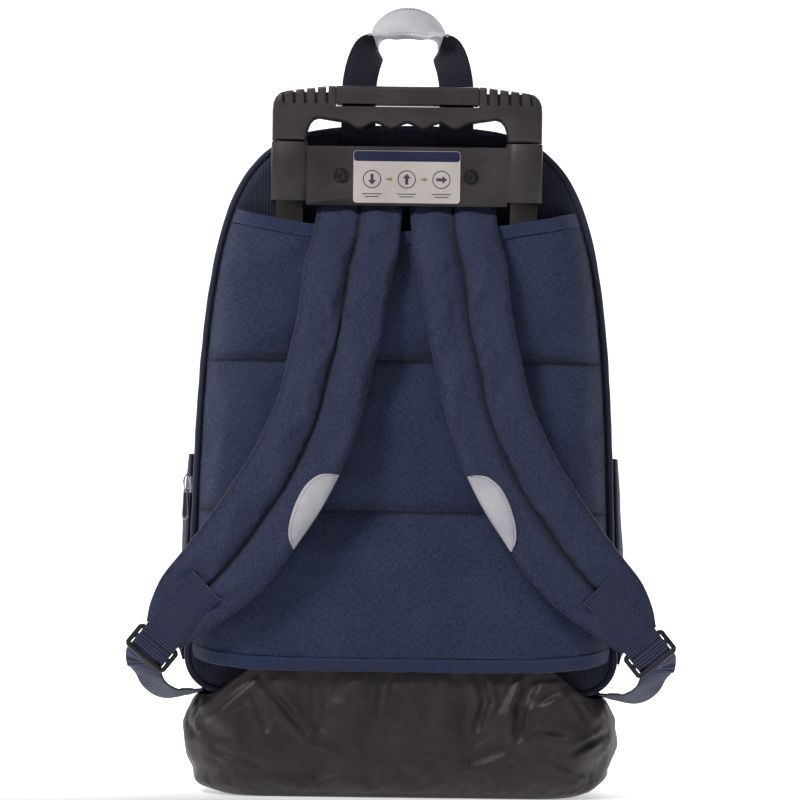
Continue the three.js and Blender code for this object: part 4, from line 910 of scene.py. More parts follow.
def laid_on(surface, points, lift, way=(0, 1, 0)):
    """Points in mm moved along way until they are lift above the surface"""
    way = Vector(way)
    flat = np.asarray(points, float).reshape(-1, 3).copy()
    for i, point in enumerate(flat):
        start = Vector(point) * MM - way * 0.05
        spot, _normal, _face, _away = surface.ray_cast(start, way, 0.1)
        if spot is not None:
            flat[i] = np.array(spot - way * lift * MM) / MM
    return flat.reshape(np.shape(points))


pad_surface = cloth_surface(quilted_pad)
print("a point on the pad:", laid_on(pad_surface, [[0.0, -100, 260]], 0.1).round(1))

# %% [markdown]
# Bright blue binding tape closes the panel's top and bottom edges. It is folded over the edge, so it
# stands a little proud on both faces and is round at the fold, and one row of stitches runs near its
# free edge. The quilt seams get their stitches here too.

# %% Bindings and quilt stitches
def binding_patch(low, high, fold_up):
    across = side_spread(161)[None, :] * 1.002
    rise = np.linspace(low, high, 9)
    if not fold_up:
        rise = rise[::-1]
    front = pad_point(across, rise[:, None], 1.0, 0.45)
    behind = pad_point(across, rise[::-1][:, None], 0.0, 0.2)
    lift = 1 if fold_up else -1
    fold = []
    for turn in np.radians([30, 60, 90, 120, 150]):
        share = (1 - math.cos(turn)) / 2
        bend = front[-1] * (1 - share) + behind[0] * share
        bend[:, 2] += lift * 1.5 * math.sin(turn)
        fold.append(bend)
    start = front[:1] + [0, 0.7, 0]
    grid = np.concatenate([start, front, np.stack(fold), behind])
    x = grid[..., 0]
    grid[..., 1] += ripple(x, grid[..., 2], 24, 12) * 0.12
    grid[..., 2] += ripple(x, x, 34, 13) * 0.25
    down = np.cumsum(np.linalg.norm(np.diff(grid, axis=0, prepend=grid[:1]), axis=2), axis=0)
    return grid, chart_of(down, x), False, False


for edge, low, high in (("top", 1 - PAD_BAND, 1), ("bottom", 0, PAD_BAND)):
    patch = binding_patch(low, high, edge == "top")
    bag_piece(f"{edge}_binding", [patch], binding_tape, "binding", f"pad_{edge}_binding", solid=True)

TO_VIEWER = (0, -1, 0)
SEAM_POINTS, BEFORE_PAD = 180, -110.0
binding_seams = [(pad_point(side_spread(SEAM_POINTS) * 0.985, up, 1.0, 0.5), TO_VIEWER)
                 for up in (1 - PAD_BAND * 0.8, PAD_BAND * 0.8)]
sew("binding_stitches", binding_seams, blue_thread, "binding", pitch=2.9)

quilt_seams = []
for seam in QUILT_Z:
    x = side_spread(SEAM_POINTS) * 0.97 * (half_width_at(seam) - PAD_INSET)
    line = np.stack([x, np.full(SEAM_POINTS, BEFORE_PAD), np.full(SEAM_POINTS, seam)], 1)
    quilt_seams.append((laid_on(pad_surface, line, 0.1), TO_VIEWER))
sew("quilt_stitches", quilt_seams, navy_thread, "cloth", pitch=3.2)

# %% [markdown]
# A shoulder strap is a long foam pad that starts below the trolley plate, stands off the back and
# swings out to the bag's lower corners. A table read off the photograph gives its two edges and how
# far it stands off. The section is a flat cushion drawn in along one middle seam.

# %% Shoulder straps
STRAP_REACH, STRAP_DROP, STRAP_TOP = 183.0, 329.0, BAG_HIGH - 51
STRAP_THICK, STRAP_STAND = 13.0, 50.0
STRAP_ROWS, STRAP_FRONT, STRAP_BEHIND = 166, 47, 21
STRAP_TABLE = np.array([
    # inner edge across, down; outer edge across, down; stand; thickness
    [0.012, 0.004, 0.348, 0.000, 0.172, 1.20],
    [0.014, 0.027, 0.352, 0.025, 0.200, 0.90],
    [0.019, 0.072, 0.360, 0.066, 0.530, 0.72],
    [0.026, 0.118, 0.371, 0.100, 0.700, 0.90],
    [0.052, 0.195, 0.398, 0.155, 0.790, 1.00],
    [0.087, 0.304, 0.418, 0.255, 0.860, 1.00],
    [0.131, 0.410, 0.456, 0.356, 0.930, 1.00],
    [0.180, 0.517, 0.492, 0.444, 0.980, 1.00],
    [0.240, 0.609, 0.555, 0.526, 1.000, 1.00],
    [0.317, 0.693, 0.612, 0.587, 1.000, 1.00],
    [0.404, 0.766, 0.694, 0.657, 0.980, 1.00],
    [0.497, 0.839, 0.779, 0.726, 0.930, 1.00],
    [0.601, 0.898, 0.863, 0.787, 0.860, 0.95],
    [0.716, 0.945, 0.940, 0.842, 0.780, 0.80],
    [0.803, 0.979, 0.984, 0.897, 0.710, 0.55],
    [0.869, 1.000, 1.000, 0.939, 0.660, 0.30],
])
LAST_ROW = len(STRAP_TABLE) - 1


def strap_place(down, across, lift):
    """Down is in rows of the table, across from the inner edge to the outer, lift in thicknesses"""
    down, across, lift = np.broadcast_arrays(down, across, lift)
    row = eased(np.arange(LAST_ROW + 1), STRAP_TABLE, down)
    x = (row[..., 0] + (row[..., 2] - row[..., 0]) * across) * STRAP_REACH
    z = STRAP_TOP - (row[..., 1] + (row[..., 3] - row[..., 1]) * across) * STRAP_DROP
    y = BAG_BACK - row[..., 4] * STRAP_STAND - lift * STRAP_THICK * row[..., 5]
    return np.stack([x, y, z], -1)


def strap_lift(across):
    half = np.abs(2 * np.mod(2 * across, 1) - 1)
    cushion = np.maximum(1 - half ** 3.2, 0) ** 0.65
    rim = np.maximum(1 - np.abs(2 * across - 1) ** 9, 0)
    return 0.06 + 0.14 * rim + 0.34 * cushion - 0.1 * np.exp(-((across - 0.5) / 0.02) ** 2)


def sided(grid, chart, side):
    """A patch of the right side, or its mirror image with its faces still outwards"""
    return (grid, chart) if side > 0 else (grid[:, ::-1] * [-1, 1, 1], chart[:, ::-1])


def make_strap(label, side, seed):
    down = np.linspace(0, LAST_ROW, STRAP_ROWS)[:, None]
    front, behind = (side_spread(STRAP_FRONT) + 1) / 2, ((side_spread(STRAP_BEHIND) + 1) / 2)[::-1]
    across = np.concatenate([front, behind[1:], front[:1]])[None, :]
    facing = np.concatenate([np.ones(STRAP_FRONT), -np.ones(STRAP_BEHIND - 1), np.ones(1)])[None, :]
    level = facing * strap_lift(across)
    level[:, [0, STRAP_FRONT - 1, -2, -1]] = 0.0
    grid = strap_place(down, across, level)
    run = down * STRAP_DROP / LAST_ROW
    grid[..., 1] -= (facing > 0) * ripple(across * 60, run, 42, seed) * 0.35
    patch = (*sided(grid, chart_of(across * STRAP_WIDE, run), side), False, True)
    strap = bag_piece(f"padded_strap_{label}", [patch], strap_cloth, "cloth", f"strap_{label}", solid=True)
    held = (facing < 0) | (across < 0.012) | (across > 0.988) | (np.abs(across - 0.5) < 0.012)
    held = held | (down < 0.35) | (down > LAST_ROW - 1.4)
    ordered = held if side > 0 else held[:, ::-1]
    settle(strap, ordered[:, :-1], 1.8, 0.02, 1.6)
    return strap


STRAPS = {"left": (-1, make_strap("left", -1, 21)), "right": (1, make_strap("right", 1, 22))}

# %% [markdown]
# The strap's seams: one row of thread sinks into the middle groove, and one runs just inside each
# turned edge.

# %% Strap stitches
def on_strap(label, down, across, lift):
    side, strap = STRAPS[label]
    line = strap_place(down, across, 1.5) * [side, 1, 1]
    return laid_on(cloth_surface(strap), line, lift)


for label in STRAPS:
    seams = []
    for across, lift, to_end in ((0.5, 0.05, 3.2), (0.035, 0.0, 0.3), (0.965, 0.0, 0.3)):
        down = np.linspace(0.7, LAST_ROW - to_end, 240)
        seams.append((on_strap(label, down, across, lift), TO_VIEWER))
    sew(f"strap_stitches_{label}", seams, navy_thread, "cloth", pitch=3.0, radius=0.28)

# %% [markdown]
# Webbing is a flat ribbed band with soft edges. A band follows a path with a direction for its width
# at each step, drawn along a smooth curve, so the same few lines make the patch sewn on the strap, the
# length that threads the buckle and turns into the bag's corner, and the carry handle.

# %% Bands of webbing
BAND_SECTION = np.array([
    # across, through; in halves of the band's width and thickness
    (-1, 0.2), (-0.985, 0.75), (-0.94, 1), (-0.6, 1), (-0.2, 1), (0.2, 1), (0.6, 1), (0.94, 1), (0.985, 0.75),
    (1, 0.2), (1, -0.2), (0.985, -0.75), (0.94, -1), (0.4, -1), (-0.4, -1), (-0.94, -1), (-0.985, -0.75),
    (-1, -0.2), (-1, 0.2),
])


def band_frames(path, widths, count):
    steps = np.arange(len(path))
    at = np.linspace(0, len(path) - 1, count)
    middle = spaced(eased(steps, np.array(path, float), np.linspace(0, len(path) - 1, 600)), count)
    rough = eased(steps, np.array(path, float), at)
    near = np.argmin(np.linalg.norm(rough[None] - middle[:, None], axis=2), axis=1)
    across = eased(steps, np.array(widths, float), at)[near]
    along = np.gradient(middle, axis=0)
    along /= np.linalg.norm(along, axis=1)[:, None]
    across -= along * np.einsum("ij,ij->i", along, across)[:, None]
    across /= np.linalg.norm(across, axis=1)[:, None]
    return middle, across, np.cross(along, across)


def band_grid(path, widths, width, thickness, count):
    middle, across, normal = band_frames(path, widths, count)
    grid = np.stack([middle + across * u * width / 2 + normal * v * thickness / 2
                     for u, v in BAND_SECTION], 1)
    u = BAND_SECTION[:, 0] * width / 2 + (BAND_SECTION[:, 1] < 0) * width
    return grid, chart_of(u, runs(middle)[:, None])


def make_band(name, node, path, widths, width, thickness, count, side=1, finish=webbing_tape):
    grid, chart = sided(*band_grid(path, widths, width, thickness, count), side)
    patches = [(grid, chart, False, True)]
    for row in (0, -1):
        fold = np.stack([grid[row], grid[row] * 0.02 + grid[row].mean(axis=0) * 0.98])
        patches.append((fold, np.stack([chart[row], chart[row]]), False, True))
    return bag_piece(name, patches, finish, "webbing", node, solid=True)


# %% [markdown]
# The strap ends in a patch of webbing, stitched round in a box and folded round the buckle's first
# bar. The lower webbing comes back through both slots, drops past the bag's edge, twists and is sewn
# into the corner seam.

# %% Webbing patches and lower webbing
WEB_WIDE, WEB_THICK, PATCH_SEWN = 28.0, 1.6, 47
BUCKLE_THICK, BUCKLE_BAR, BUCKLE_SLOT = 3.6, 3.4, 4.9
BAR_TURN = math.radians(39)
BAR_WAY = np.array([math.cos(BAR_TURN), 0, math.sin(BAR_TURN)])
PULL_WAY = np.array([math.sin(BAR_TURN), 0, -math.cos(BAR_TURN)])
STRAP_PULLED = strap_place(float(LAST_ROW), 0.5, 0.0) + PULL_WAY * 2.4
HALF_WEB, FACE = WEB_THICK / 2, BUCKLE_THICK / 2
CLEAR = FACE + GAP + HALF_WEB
LOOSE_END = [
    # inward, drop, back, lean and turn of the width in degrees
    (0, 0, 0.03, 39, 0), (0.05, 0.24, 0.12, 39, -4), (0.13, 0.54, 0.28, 24, 18), (0.26, 0.88, 0.54, -8, 44),
    (0.46, 1.1, 0.8, -42, 64), (0.76, 1.08, 0.97, -70, 78), (1, 1, 1, -80, 86),
]


def at_buckle(pull, front):
    return STRAP_PULLED + PULL_WAY * pull + np.array([0, -front, 0])


def patch_path():
    turn = BUCKLE_BAR + 2 * GAP + HALF_WEB
    path = [strap_place(share * LAST_ROW, 0.5, 0.5) - [0, GAP + HALF_WEB, 0]
            for share in (0.82, 0.875, 0.93, 0.985)]
    return path + [at_buckle(pull, front) for pull, front in (
        (-GAP, CLEAR + 0.6), (BUCKLE_BAR * 0.8, CLEAR + GAP), (turn - 0.3, CLEAR - 0.3), (turn, FACE),
        (turn, -FACE), (turn - 0.3, 0.3 - CLEAR), (BUCKLE_BAR * 0.8, -CLEAR - GAP), (-GAP, -CLEAR - 1),
        (-6, -CLEAR - 1.6))]


def lower_path():
    one = BUCKLE_BAR + BUCKLE_SLOT - 2 * GAP - HALF_WEB
    two = 2 * BUCKLE_BAR + BUCKLE_SLOT + 2 * GAP + HALF_WEB
    length = 3 * BUCKLE_BAR + 2 * BUCKLE_SLOT
    path = [at_buckle(pull, front) for pull, front in (
        (one - 0.5, -CLEAR - 4), (one, -FACE), (one, FACE), (one + 0.4, CLEAR - 0.2),
        (one + 1.6, CLEAR + GAP), (two - 1.6, CLEAR + GAP), (two - 0.4, CLEAR - 0.2), (two, FACE),
        (two, -0.6), (two + 1.4, -CLEAR),
        (length - BUCKLE_BAR, -CLEAR - 1.4), (length, -CLEAR - 2.6))]
    widths = [BAR_WAY] * len(path)
    start = at_buckle(length + 2, -CLEAR - 4.4)
    reach = CORNER + GAP + WEB_THICK
    seam = math.radians(60)
    end = np.array([BAG_HALF - CORNER + reach * math.cos(seam), BAG_BACK + WEB_WIDE * 0.36,
                    BAG_LOW + CORNER - reach * math.sin(seam)])
    for inward, drop, back, lean, turn in LOOSE_END:
        lean, turn = math.radians(lean), math.radians(turn)
        path.append(start + (end - start) * [inward, back, drop])
        flat = math.cos(turn)
        widths.append(np.array([math.cos(lean) * flat, math.sin(turn), math.sin(lean) * flat]))
    return path, widths


def box_seam(path, widths, inset, lift):
    """The closed line of stitches round the patch, where it lies on the strap"""
    middle, across, normal = band_frames(path, widths, 200)
    rows = np.flatnonzero(runs(middle) < PATCH_SEWN)[4:]
    edge = WEB_WIDE / 2 - inset
    front = -normal if normal[rows[0]][1] > 0 else normal
    raised = middle + front * (WEB_THICK / 2 + lift)
    low, high = raised[rows] + across[rows] * edge, raised[rows] - across[rows] * edge
    return [low, high, np.stack([low[0], high[0]]), np.stack([low[-1], high[-1]])]


for label, side in SIDES.items():
    path = patch_path()
    widths = [BAR_WAY] * len(path)
    make_band(f"webbing_patch_{label}", f"strap_webbing_{label}", path, widths, WEB_WIDE, WEB_THICK, 90, side)
    seams = [(line * [side, 1, 1], TO_VIEWER) for line in box_seam(path, widths, 2.4, 0.05)]
    sew(f"patch_stitches_{label}", seams, navy_thread, "webbing", pitch=2.6, radius=0.3)
    path, widths = lower_path()
    make_band(f"lower_webbing_{label}", f"adjuster_{label}", path, widths, WEB_WIDE, WEB_THICK, 150, side)

# %% [markdown]
# A half-moon of reflective cloth is sewn on the inner edge of each strap. It is laid on the settled
# strap, and a row of grey stitches follows its round edge.

# %% Reflective half-moons
MOON = np.array([
    # down, reach across
    (0.5395, 0.0), (0.5435, 0.1), (0.553, 0.2), (0.572, 0.268), (0.595, 0.285), (0.62, 0.262), (0.648, 0.2),
    (0.668, 0.11), (0.678, 0.0),
])
MOON_INSET = 0.014


def make_moon(label):
    side, strap = STRAPS[label]
    row = eased(np.arange(len(MOON)), MOON, np.linspace(0, len(MOON) - 1, 45))
    across = MOON_INSET + np.maximum(row[:, 1:2], 0.02) * np.linspace(0, 1, 15)
    down = row[:, :1] * LAST_ROW
    grid = on_strap(label, down, across, 0.75)
    chart = chart_of(across * STRAP_WIDE, down * STRAP_DROP / LAST_ROW)
    if side < 0:
        grid, chart = grid[:, ::-1], chart[:, ::-1]
    patch = (grid, chart, False, False)
    moon = bag_piece(f"half_moon_{label}", [patch], grey_reflective, "reflector", f"reflector_{label}")
    thicken(moon, 0.6, 0)
    inner = eased(np.arange(len(MOON)), MOON, np.linspace(0.4, len(MOON) - 1.4, 80))
    arc = on_strap(label, inner[:, 0] * LAST_ROW, MOON_INSET + np.maximum(inner[:, 1] - 0.035, 0.03), 1.1)
    sew(f"moon_stitches_{label}", [(arc, TO_VIEWER)], grey_thread, "reflector", pitch=2.4, radius=0.26)


for label in STRAPS:
    make_moon(label)

# %% [markdown]
# The cover over the wheels is a loose bag of thin nylon. It is sewn to the bag's bottom and gathered
# underneath, so it falls in diagonal pulls from its upper corners, deep folds between soft pouches and
# many fine creases. The main folds are placed one by one where the real ones lie. The settling then adds
# the small ones, because the cloth is cut larger than the place it has to fill.

# %% The wheel cover
COVER_HALF, COVER_BACK, COVER_FRONT, COVER_CORNER = 155.5, -88.4, 57.0, 42.0
COVER_TOP, COVER_FLAP_TOP = BAG_LOW - 2 * GAP, BAG_LOW + 24.0
VALLEYS = [
    # from x, z to x, z, depth, half width
    (-144, 52, -104, 91, 6.5, 3.0), (-101, 86, -68, 49, 5.0, 2.8), (-106, 76, -96, 50, 3.0, 2.4),
    (-64, 90, -62, 60, 3.2, 2.2), (-66, 46, -34, 34, 2.0, 2.6), (-13, 92, -16, 62, 2.0, 2.2),
    (56, 92, 61, 72, 5.0, 3.6), (61, 72, 55, 54, 4.0, 3.2), (96, 88, 86, 66, 5.5, 4.2),
    (86, 66, 84, 46, 4.5, 3.8), (80, 40, 52, 30, 2.0, 4.2), (95, 70, 120, 82, 3.6, 3.2),
    (98, 50, 118, 47, 3.0, 2.4), (118, 84, 138, 50, 4.0, 2.6), (124, 36, 144, 46, 3.2, 2.4),
    (108, 30, 136, 18, 2.2, 2.4), (-132, 34, -100, 24, 1.8, 2.6), (-150, 70, -134, 84, 3.0, 2.4),
    (0, 30, 44, 24, 1.4, 2.4), (128, 86, 150, 62, 3.4, 2.4),
]
POUCHES = [
    # x, z, half width, half height, height
    (72, 62, 12, 20, 5.0), (108, 66, 13, 16, 5.5), (-84, 70, 12, 14, 3.0), (-124, 58, 12, 12, 3.0),
    (128, 40, 14, 14, 3.5), (-100, 36, 24, 12, 2.4), (-38, 60, 20, 18, 2.8), (10, 56, 22, 22, 2.4),
    (36, 58, 14, 22, 2.6), (50, 22, 30, 8, 2.0),
]


def cover_half_plan():
    side = COVER_HALF - COVER_CORNER
    back = np.stack([np.linspace(0, side, 30), np.full(30, COVER_BACK)], 1)
    rear = corner_points((side, COVER_BACK + COVER_CORNER), COVER_CORNER, -90, 0, 20)
    fore = corner_points((side, COVER_FRONT - COVER_CORNER), COVER_CORNER, 0, 90, 20)
    return np.concatenate([back, rear, fore, [(0, COVER_FRONT)]])


def fold_push(x, z):
    push = np.zeros(x.shape)
    for x1, z1, x2, z2, depth, width in VALLEYS:
        way = np.array([x2 - x1, z2 - z1], float)
        length = np.linalg.norm(way)
        way /= length
        along = np.clip((x - x1) * way[0] + (z - z1) * way[1], 0, length)
        away = np.hypot(x - x1 - along * way[0], z - z1 - along * way[1]) / width
        fade = 0.35 + 0.65 * np.sin(math.pi * np.clip(along / length, 0.08, 0.92))
        push += depth * fade * (0.55 * np.exp(-((away - 1.7) / 0.9) ** 2) - np.exp(-away ** 2))
    for x1, z1, wide, tall, height in POUCHES:
        push += height * np.exp(-((x - x1) / wide) ** 2 - ((z - z1) / tall) ** 2)
    return push


COVER_UP = [0, 0.05, 0.27, 0.58, 0.82, 1]
COVER_WIDE = [0.84, 0.9, 0.96, 1, 0.985, 0.95]
COVER_DEEP = [0.9, 0.96, 1, 1, 1, 1]
UNDER_RINGS = (1, 0.96, 0.9, 0.8, 0.65, 0.5, 0.3, 0.002)
COVER_ROUND = 361


def make_cover():
    plan, out = whole_loop(cover_half_plan(), COVER_ROUND)
    run = runs(plan)
    up = np.linspace(0, 1, 46)[:, None]
    x, y = plan[None, :, 0], plan[None, :, 1]
    at_back = np.clip(1 - 2 * (y - COVER_BACK) / COVER_CORNER, 0, 1)
    inside = np.clip((0.95 - np.abs(x / COVER_HALF)) / 0.23, 0, 1)
    wide, deep = eased(COVER_UP, COVER_WIDE, up), eased(COVER_UP, COVER_DEEP, up)
    middle = (COVER_FRONT + COVER_BACK) / 2
    z = up * COVER_TOP + up ** 2 * (COVER_FLAP_TOP - BAG_LOW + GAP) * at_back * inside
    spot_x, spot_y = x * wide, middle + (y - middle) * deep
    swell = np.clip(4 * up * (1 - up), 0, 1) ** 0.6
    folds = fold_push(spot_x, z)
    back_push = np.maximum(0.9 + 0.55 * folds, -1.6) + np.maximum(folds, 0) * 0.6
    side_push = 0.6 + 1.3 * ripple(run[None, :], z * 2, 46, 31)
    push = swell * (at_back * back_push + (1 - at_back) * np.maximum(side_push, 0))
    hem = 1.2 * ripple(run[None, :], 0 * z, 38, 32) * up ** 6
    out_x, out_y = out[None, :, 0], out[None, :, 1]
    wall = np.stack([spot_x + out_x * push, spot_y + out_y * push, z + hem * (1 - up ** 12)], -1)
    wall[:, -1] = wall[:, 0]
    rings = []
    for shrink in UNDER_RINGS:
        floor = wall[0] * [shrink, shrink, 1] + [0, middle * (1 - shrink), 0]
        lift = 0.9 * ripple(floor[:, 0], floor[:, 1], 40, 33) * min(1, (1 - shrink) * 8)
        floor[:, 2] = np.maximum(0.3, 0.3 + lift + 4 * (1 - shrink) * shrink)
        rings.append(floor)
    under = np.stack(rings)[::-1]
    patches = [(wall, chart_of(run, z), False, True), (under, under[..., :2], False, True)]
    cover = bag_piece("wheel_bag", patches, cover_nylon, "nylon", "wheel_cover", solid=True)
    edges = np.broadcast_to((up > 0.97) | (up < 0.05), wall.shape[:2])[:, :-1]
    held = np.concatenate([edges.ravel(), np.ones(len(UNDER_RINGS) * (COVER_ROUND - 1))])
    settle(cover, held, 0.35, 0.035, 2.4, stiffness=9.0)
    thicken(cover, 0.8, -1)


make_cover()

# %% [markdown]
# The carry handle is one loop of webbing that turns as it rises, so that its flat lies in the hand. A
# light grey sleeve is wrapped round its top and stitched along both edges.

# %% Carry handle
CARRY_FOOT, CARRY_TOP, CARRY_WIDE, CARRY_THICK = 456.85, BAG_HIGH + 75.5, 25.0, 1.8
CARRY_REACH, CARRY_Y, CARRY_LEAN = 35.5, -71.8, 16
CARRY_TABLE = [
    # across, up, far, direction of the width
    (1, 0, 0, (1, 0, 0)), (1, 0.3, 0, (1, 0, 0)), (1, 0.45, 0.05, (1, 0, 0)),
    (0.97, 0.61, 0.24, (0.98, -0.1, -0.16)), (0.84, 0.77, 0.56, (0.8, -0.35, -0.5)),
    (0.58, 0.9, 0.86, (0.45, -0.56, -0.68)), (0.3, 0.975, 0.98, (0.18, -0.63, -0.75)),
    (0, 1, 1, (0, -0.64, -0.77)),
]
SLEEVE_FROM, SLEEVE_TO, SLEEVE_WIDE, SLEEVE_THICK = 4.55, 9.45, CARRY_WIDE + 4, 5.2


def carry_lines():
    path, widths = [], []
    rise = CARRY_TOP - CARRY_FOOT
    for side, rows in ((1, CARRY_TABLE), (-1, CARRY_TABLE[-2::-1])):
        for across, up, far, way in rows:
            path.append([side * across * CARRY_REACH, CARRY_Y + far * CARRY_LEAN, CARRY_FOOT + up * rise])
            widths.append([side * way[0], way[1], way[2]])
    return np.array(path), np.array(widths)


carry = carry_lines()
make_band("carry_loop", "carry_webbing", *carry, CARRY_WIDE, CARRY_THICK, 140, finish=carry_tape)
at = np.linspace(SLEEVE_FROM, SLEEVE_TO, 13)
sleeve_lines = [eased(np.arange(len(rows)), rows, at) for rows in carry]
sleeve_grid, sleeve_chart = band_grid(*sleeve_lines, SLEEVE_WIDE, SLEEVE_THICK, 60)
sleeve_grid[..., 1] += ripple(sleeve_chart[..., 1], sleeve_chart[..., 0], 17, 41) * 0.25
sleeve_grid[:, -1] = sleeve_grid[:, 0]
sleeve_patch = (sleeve_grid, sleeve_chart, False, True)
sleeve = bag_piece("carry_sleeve", [sleeve_patch], lit_sleeve_reflective, "reflector", "carry_wrap", solid=True)
thicken(sleeve, 0.9, -1)
middle, across, normal = band_frames(*sleeve_lines, 120)
facing = -normal if normal[len(normal) // 2][1] > 0 else normal
rows = [(middle + across * edge * (CARRY_WIDE / 2 - 0.5) + facing * 2.65, facing) for edge in (-1, 1)]
sew("carry_stitches", rows, grey_thread, "reflector", pitch=2.5, radius=0.26)

# %% [markdown]
# A zip is a pair of woven tapes with a spiral of nylon between them. The tapes are one narrow band
# along the outline, and the spiral is a row of little rods that lie across it.

# %% Zips and front pocket
def zip_strip(name, node, line, out, span, y_low, y_high, grow):
    keep = np.flatnonzero(span)
    ys = np.linspace(y_low, y_high, 9)
    middle = (y_low + y_high) / 2
    rows = [ring(line, out, grow - 0.5 + 0.5 * math.exp(-((y - middle) / 1.6) ** 2), y)[keep] for y in ys]
    grid = np.stack(rows, 1)
    patch = (grid, chart_of(ys, runs(grid[:, 0])[:, None]), False, False)
    thicken(bag_piece(name, [patch], zip_tape, "webbing", node), 0.9, 0)
    teeth = ring(line, out, grow + 0.15, middle)[keep]
    outward = np.stack([out[keep, 0], 0 * keep, out[keep, 1]], 1)
    sew(name + "_teeth", [(teeth, outward)], hidden_plastic, "webbing", pitch=1.7, radius=0.55, crossing=2.0)


zip_strip("zip_band", "main_zip", BAG_LINE, BAG_OUT, ZIP_SPAN, ZIP_BACK, ZIP_FRONT, -0.1 * SWELL)

POCKET_HALF, POCKET_LOW, POCKET_TALL, POCKET_DEEP, POCKET_CORNER = 119.0, 85.0, 214.0, 38.0, 30.0
POCKET_TURN, POCKET_ZIP_WIDE = 9, 8
MOUTH_Y = BAG_BACK + BAG_DEEP + GAP


def pocket_half():
    high = POCKET_LOW + POCKET_TALL
    shoulder = high - 12 - POCKET_CORNER
    inner = POCKET_HALF - POCKET_CORNER
    low_corner = corner_points((inner, POCKET_LOW + POCKET_CORNER), POCKET_CORNER, -90, 0)
    high_corner = corner_points((inner, shoulder), POCKET_CORNER, 0, 90)
    t = np.linspace(0, 1, 12)[1:, None]
    start, pull, end = np.array([[inner, shoulder + POCKET_CORNER], [POCKET_HALF * 0.4, high], [0, high]])
    crown = start * (1 - t) ** 2 + pull * 2 * t * (1 - t) + end * t * t
    return np.concatenate([[(0, POCKET_LOW)], low_corner, high_corner, crown])


POCKET_LINE, POCKET_OUT = whole_loop(pocket_half(), 301)
POCKET_RUN = runs(POCKET_LINE)
POCKET_ZIP = POCKET_LINE[:, 1] > POCKET_LOW + POCKET_TALL * 0.58


def make_pocket():
    start = np.where(POCKET_ZIP, MOUTH_Y + POCKET_ZIP_WIDE + GAP, MOUTH_Y)
    middle = POCKET_LOW + POCKET_TALL / 2
    wall, chart, front = [], [], []
    for at in np.linspace(0, 3, 22):
        share, grow = eased([0, 1, 2, 3], [(0, 0), (0.55, 1.5), (0.86, 0), (1, -POCKET_TURN)], np.array(at))
        y = np.maximum(MOUTH_Y + POCKET_DEEP * share, start)
        sag = sagging(POCKET_RUN, y, 45, 51, 0.5 * math.sin(math.pi * min(at / 3, 1)), 0.4)
        wall.append(ring(POCKET_LINE, POCKET_OUT, grow + sag, y))
        chart.append(chart_of(POCKET_RUN, y))
    for shrink in (1, 0.97, 0.9, 0.8, 0.65, 0.5, 0.35, 0.2, 0.08, 0.002):
        row = ring(POCKET_LINE, POCKET_OUT, -POCKET_TURN, 0.0, shrink, middle)
        row[:, 1] = MOUTH_Y + POCKET_DEEP * (1 + 0.06 * min(1, (1 - shrink) / 0.5))
        row[:, 1] += ripple(row[:, 0], row[:, 2], 60, 52) * 0.5 * (1 - shrink)
        front.append(row)
    front = np.stack(front)
    patches = [(np.stack(wall), np.stack(chart), False, True), (front, front[..., [0, 2]], False, True)]
    thicken(bag_piece("outer_pocket", patches, body_cloth, "cloth", "front_pocket"), 1.3, 1)


make_pocket()
zip_strip("pocket_zip_band", "pocket_zip", POCKET_LINE, POCKET_OUT, POCKET_ZIP, MOUTH_Y,
          MOUTH_Y + POCKET_ZIP_WIDE, 0)

# %% [markdown]
# The two side pockets are open at the top and sewn down at the sides and the bottom. Their hem is
# turned in and stitched, which makes the small step in the bag's outline.

# %% Side pockets
SIDE_LOW, SIDE_TALL = BAG_LOW + CORNER * 0.8, 150.0
SIDE_BACK, SIDE_FRONT = ZIP_FRONT + 8, BAG_BACK + BAG_DEEP - 12
SIDE_PUFF, SIDE_WALL = 5.4, 1.2


def side_pocket_grid(side, ups, extra=0.0):
    up = ups[:, None]
    along = np.linspace(0, 1, 40)[None, :]
    z = SIDE_LOW + up * SIDE_TALL
    y = SIDE_BACK + along * (SIDE_FRONT - SIDE_BACK)
    belly = eased([0, 0.04, 0.16, 0.4, 0.7, 0.93, 1], [0, 0.6, 1, 1, 0.95, 0.72, 0.66], up)
    puff = SIDE_PUFF * belly * np.sqrt(np.sin(math.pi * along).clip(0))
    puff = puff * (1 + 0.1 * ripple(y, z, 34, 60 + side))
    x = side * (half_width_at(z) + SWELL + GAP + SIDE_WALL + puff + extra)
    return np.stack(np.broadcast_arrays(x, y, z), -1), chart_of(y, z)


for label, side in SIDES.items():
    patch = (*side_pocket_grid(side, np.linspace(0, 1, 60)), False, False)
    pocket = bag_piece(f"slip_pocket_{label}", [patch], body_cloth, "cloth", f"side_pocket_{label}")
    thicken(pocket, SIDE_WALL, side)
    for up, seam in ((0.94, "hem"), (0.03, "foot")):
        line = side_pocket_grid(side, np.array([up]), 0.1)[0][0]
        sew(f"{seam}_stitches_{label}", [(line, (side, 0, 0))], navy_thread, "cloth", pitch=3.0)

# %% [markdown]
# The small hard parts that carry detail are made new: screws as turned caps with a socket, and the
# zip's slider, with its ring and a flat pull that hangs half turned and has a dark inlay on each face.

